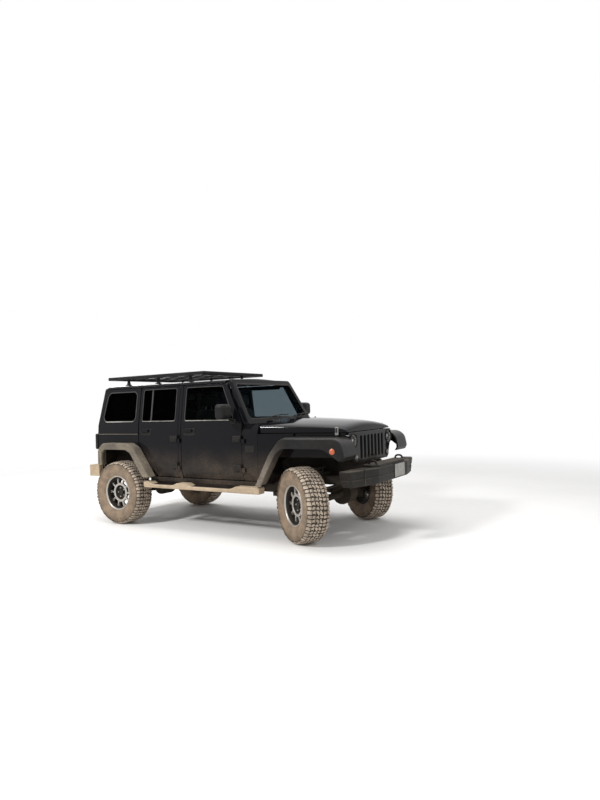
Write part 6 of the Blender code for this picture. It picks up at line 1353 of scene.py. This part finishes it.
def tailgate():
    refined("tailgate", PAINT, 0.0035, 2)
    panel = rounded(rectangle(-0.56, 0.56, 0.850, 1.320), 0.05, 6)
    plate("tailgate_panel", panel, 0.004, behind_of(TUB_REAR - 0.0035), PAINT, 0.003, "tailgate")
    handle = rounded(rectangle(0.440, 0.555, 1.200, 1.255), 0.012, 4)
    plate("tailgate_handle", handle, 0.020, behind_of(TUB_REAR - 0.021), BLACK, 0.006, "tailgate")
    for index, angle in enumerate(turns(CARRIER_BOLTS)):
        centre = (TUB_REAR - 0.020, 0.115 * math.cos(angle), 1.120 + 0.115 * math.sin(angle))
        bolt(f"carrier_bolt_{index}", centre, -1, 0.010, "tailgate", "X")
    for side, label in SIDES:
        outline = [(side * y, z) for y, z in rounded(rectangle(0.664, 0.798, 1.012, 1.238), 0.022)]
        housing = plate(f"tail_lamp_housing_{label}", outline, 0.050, behind_of(-1.9655), BLACK, 0.010)
        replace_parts(housing, f"tail_lamp_{label}")
        for index, (low_z, high_z, material) in enumerate(TAIL_LENSES):
            lens = [(side * y, z) for y, z in rounded(rectangle(0.682, 0.780, low_z, high_z), 0.010, 4)]
            plate(f"tail_lens_{label}_{index}", lens, 0.012, behind_of(-1.9735), material, 0.005)
        side_block(f"tail_guard_{label}", (-1.974, -1.960), (0.674, 0.680), (1.020, 1.230), side, BLACK, 0.002)


def body_rest():
    for node, material, edge in CAD_SKINS:
        refined(node, material, edge, 2 if edge else 1)
    block("cowl_grille", (0.815, -0.400, 1.3445), (0.900, 0.400, 1.3485), BLACK, 0.0015)
    for index in range(SLATS):
        y = lerp(-0.385, 0.385, index / (SLATS - 1))
        block(f"cowl_slat_{index}", (0.822, y - 0.005, 1.3475), (0.893, y + 0.005, 1.3515), BLACK, 0.0012, 1)
    for side, label in SIDES:
        plate(f"cowl_badge_panel_{label}", rounded(rectangle(0.735, 0.865, 1.010, 1.090), 0.012, 4), 0.004,
              on_side(side, 0.0025), BLACK, 0.0015)
    plate("fuel_door", rounded(rectangle(-1.560, -1.390, 1.160, 1.320), 0.030), 0.006, on_side(1, 0.0035), PAINT,
          0.003, levels=SIDE_LEVELS[5:9])


# Cabin
SEAT_Y = 0.370
SEAM_WIDTH = 0.035
UPRIGHT = math.radians(90)
STEERING_CENTRE = Vector((0.4147, SEAT_Y, 1.190))
STEERING_LEAN = math.radians(-62.0)


def cushion(name, middle, size, lean, crown, seams=(), cross_seams=(), power=5.0, cuts=22):
    """Stuffed pad: a rounded box with a crowned face, and grooves where it is sewn."""
    form = bmesh.new()
    bmesh.ops.create_cube(form, size=2)
    bmesh.ops.subdivide_edges(form, edges=form.edges[:], cuts=cuts, use_grid_fill=True)
    half = Vector(size) / 2
    for vert in form.verts:
        spot = vert.co / sum(abs(value) ** power for value in vert.co) ** (1 / power)
        lift = 0.0
        if spot.z > 0:
            lift = crown * (1 - spot.x ** 4) * (1 - spot.y ** 4)
            lift -= sum(0.010 * math.exp(-((spot.y - seam) / SEAM_WIDTH) ** 2) for seam in seams)
            lift -= sum(0.008 * math.exp(-((spot.x - seam) / SEAM_WIDTH) ** 2) for seam in cross_seams)
        vert.co = spot * half + Vector((0, 0, lift))
    bmesh.ops.transform(form, matrix=placed(middle, lean, "Y"), verts=form.verts)
    piece = finish_piece(form, name, SEAT, "root", 60.0, weighted=False)
    return piece


def front_seat(side, label):
    y = side * SEAT_Y
    base = cushion(f"seat_cushion_{label}", (0.085, y, 0.935), (0.480, 0.480, 0.150), 0.0, 0.012, (-0.62, 0.62),
                   (0.05,))
    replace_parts(base, f"seat_front_{label}")
    cushion(f"seat_back_{label}", (-0.175, y, 1.270), (0.540, 0.480, 0.130), UPRIGHT, 0.012, (-0.62, 0.62),
            (0.1,))
    cushion(f"headrest_{label}", (-0.175, y, 1.660), (0.160, 0.260, 0.090), UPRIGHT, 0.008, power=4.0, cuts=14)
    for index, step in enumerate((-0.055, 0.055)):
        tube(f"headrest_post_{label}_{index}", [(-0.175, y + step, z) for z in (1.520, 1.620)], 0.006, STEEL, 12)
    block(f"seat_plinth_{label}", (-0.075, y - 0.168, 0.6555), (0.223, y + 0.168, 0.872), CABIN, 0.012, 3)


def rear_bench():
    seams = (-0.64, -0.34, 0.34, 0.64)
    base = cushion("rear_cushion", (-0.868, 0.0, 0.935), (0.480, 1.040, 0.150), 0.0, 0.012, seams, power=6.0,
                   cuts=26)
    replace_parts(base, "seat_rear")
    cushion("rear_back", (-1.085, 0.0, 1.250), (0.560, 1.040, 0.125), UPRIGHT, 0.012, seams, power=6.0, cuts=26)
    for index, y in enumerate((-0.26, 0.26)):
        cushion(f"rear_headrest_{index}", (-1.085, y, 1.620), (0.150, 0.250, 0.080), UPRIGHT, 0.006, power=4.0,
                cuts=14)
    block("rear_plinth", (-0.8715, -0.335, 0.6555), (-0.720, 0.335, 0.872), CABIN, 0.012, 3)


def dashboard():
    outline = rounded([(0.834, 1.020), (0.834, 1.300), (0.655, 1.300), (0.600, 1.262), (0.595, 1.110),
                       (0.650, 1.020)], [0.004, 0.010, 0.05, 0.03, 0.03, 0.04], 6)
    dash = plate("dash_skin", outline, 1.400, upright(1, 0.700), CABIN, 0.012)
    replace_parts(dash, "dashboard")
    block("console", (0.000, -0.108, 0.6555), (0.820, 0.108, 0.938), CABIN, 0.018, 3)
    block("console_riser", (0.690, -0.080, 0.925), (0.834, 0.080, 1.040), CABIN, 0.010, 3)
    block("screen_surround", (0.590, -0.130, 1.130), (0.606, 0.130, 1.245), BLACK, 0.006, 3)
    revolve("gear_gaiter", [(0.050, 0.0), (0.044, 0.018), (0.030, 0.044), (0.016, 0.060), (0.0, 0.062)], 28,
            CABIN, Matrix.Translation((0.420, 0.0, 0.935)))
    tube("gear_stick", [(0.420, 0.0, 0.980), (0.412, 0.0, 1.050), (0.400, 0.0, 1.085)], 0.008, STEEL, 12, 4)
    revolve("gear_knob", [(0.0, -0.024), (0.016, -0.020), (0.024, -0.004), (0.023, 0.012), (0.014, 0.022),
                          (0.0, 0.025)], 24, BLACK, Matrix.Translation((0.398, 0.0, 1.096)))


def steering_wheel():
    turn = placed(STEERING_CENTRE, STEERING_LEAN, "Y")
    ring = [(0.185 + 0.0155 * math.cos(a), 0.0155 * math.sin(a)) for a in turns(14)]
    revolve("steering_rim", ring, 56, CABIN, turn, closed=True, sharp=70.0)
    revolve("steering_boss", [(0.0, -0.030), (0.050, -0.026), (0.062, -0.010), (0.058, 0.004), (0.040, 0.012),
                              (0.0, 0.014)], 36, CABIN, turn)
    for index, degrees in enumerate((90, 270, 180)):
        path = [turn @ Vector(polar(radius, math.radians(degrees), -0.006)) for radius in (0.045, 0.110, 0.180)]
        tube(f"steering_spoke_{index}", path, 0.013, CABIN, 14)
    tube("steering_shroud", [turn @ Vector((0, 0, -depth)) for depth in (0.020, 0.230)], 0.034, CABIN, 20)


def dash_vents():
    for index, y in enumerate((-0.60, -0.22, 0.22, 0.60)):
        revolve(f"dash_vent_{index}", [(0.0, 0.002), (0.026, 0.003), (0.034, 0.008), (0.036, 0.012),
                                       (0.040, 0.010), (0.040, -0.004), (0.0, -0.004)], 32, BLACK,
                placed((0.598, y, 1.205), -math.pi / 2, "Y"))


flares()
front_bumper()
rear_bumper()
side_steps()
roof_rack()
tailgate()
body_rest()
for seat_side in SIDES:
    front_seat(*seat_side)
rear_bench()
dashboard()
steering_wheel()
dash_vents()


# Camera, light and floor
CAMERA_PLACE = Vector((4.975, -6.360, 1.550))
CAMERA_YAW, CAMERA_PITCH, CAMERA_ROLL = (math.radians(value) for value in (121.7, 0.58, -1.75))
CAMERA_LENS = 26.01
CAMERA_SENSOR = 36.0
SEEN_RAYS = ("Is Camera Ray", "Is Glossy Ray", "Is Transmission Ray")
# Lamps, as (name, place, target, size, power)
LAMPS = (("key", (-3.0, -8.5, 6.8), (0.3, 0.0, 0.8), (1.3, 1.3), 820.0),
         ("fill", (8.0, -2.0, 4.5), (0.0, 0.0, 0.8), (5.0, 4.0), 170.0),
         ("top", (-0.5, 0.5, 8.5), (0.0, 0.0, 0.5), (8.0, 5.0), 420.0),
         ("back", (-8.0, 4.0, 4.5), (0.0, 0.0, 0.8), (5.0, 4.0), 260.0))
FLOOR_RADIUS = 40.0


def camera():
    ahead = Vector(polar(math.cos(CAMERA_PITCH), CAMERA_YAW, math.sin(CAMERA_PITCH)))
    across = Vector((math.sin(CAMERA_YAW), -math.cos(CAMERA_YAW), 0))
    over = across.cross(ahead)
    right = across * math.cos(CAMERA_ROLL) + over * math.sin(CAMERA_ROLL)
    up = over * math.cos(CAMERA_ROLL) - across * math.sin(CAMERA_ROLL)
    data = bpy.data.cameras.new("photo_camera")
    data.lens = CAMERA_LENS
    data.sensor_width = CAMERA_SENSOR
    item = bpy.data.objects.new("photo_camera", data)
    item.matrix_world = Matrix.Translation(CAMERA_PLACE) @ Matrix((right, up, -ahead)).transposed().to_4x4()
    bpy.context.scene.collection.objects.link(item)
    bpy.context.scene.camera = item


def area_light(name, place, target, size, power):
    data = bpy.data.lights.new(name, "AREA")
    data.shape = "RECTANGLE"
    data.size, data.size_y = size
    data.energy = power
    item = bpy.data.objects.new(name, data)
    item.location = place
    item.rotation_euler = (Vector(target) - Vector(place)).to_track_quat("-Z", "Y").to_euler()
    bpy.context.scene.collection.objects.link(item)


def world():
    """Grey light all round that the camera, mirrors and glass see as plain white."""
    studio = bpy.data.worlds.new("studio")
    bpy.context.scene.world = studio
    studio.use_nodes = True
    tree = studio.node_tree
    back = tree.nodes["Background"]
    back.inputs["Color"].default_value = (0.86, 0.87, 0.88, 1.0)
    back.inputs["Strength"].default_value = 0.55
    white = tree.nodes.new("ShaderNodeBackground")
    white.inputs["Color"].default_value = (1.0, 1.0, 1.0, 1.0)
    path = tree.nodes.new("ShaderNodeLightPath")
    mix = tree.nodes.new("ShaderNodeMixShader")
    seen = path.outputs[SEEN_RAYS[0]]
    for kind in SEEN_RAYS[1:]:
        either = tree.nodes.new("ShaderNodeMath")
        either.operation = "MAXIMUM"
        tree.links.new(seen, either.inputs[0])
        tree.links.new(path.outputs[kind], either.inputs[1])
        seen = either.outputs[0]
    for source, socket in zip((seen, back.outputs[0], white.outputs[0]), mix.inputs):
        tree.links.new(source, socket)
    tree.links.new(mix.outputs[0], tree.nodes["World Output"].inputs["Surface"])


def floor():
    """Pale floor that turns white further out for the rays that see it."""
    shader = Shader("studio_floor")
    patches = shader.ramp(shader.noise(0.6, 5.0), 0.3, 0.7)
    shader.put(Base_Color=shader.mix(patches, (0.80, 0.79, 0.775), (0.84, 0.83, 0.815)), Roughness=0.9)
    rays = shader.add("ShaderNodeLightPath").outputs
    seen = rays[SEEN_RAYS[0]]
    for kind in SEEN_RAYS[1:]:
        seen = shader.math("MAXIMUM", seen, rays[kind])
    seen = shader.math("MULTIPLY", shader.ramp(shader.length(shader.place), 4.5, 11.0), seen)
    shader.blend_with(seen, shader.add("ShaderNodeEmission"))
    shader.bump(shader.noise(60.0, 4.0), 0.1, 0.002)
    form = bmesh.new()
    bmesh.ops.create_circle(form, cap_ends=True, radius=FLOOR_RADIUS, segments=64)
    mesh = bpy.data.meshes.new("floor")
    form.to_mesh(mesh)
    form.free()
    mesh.materials.append(shader.material)
    item = bpy.data.objects.new("floor", mesh)
    bpy.context.scene.collection.objects.link(item)


camera()
world()
for lamp_row in LAMPS:
    area_light(*lamp_row)
floor()
bpy.context.scene.view_settings.view_transform = "Standard"
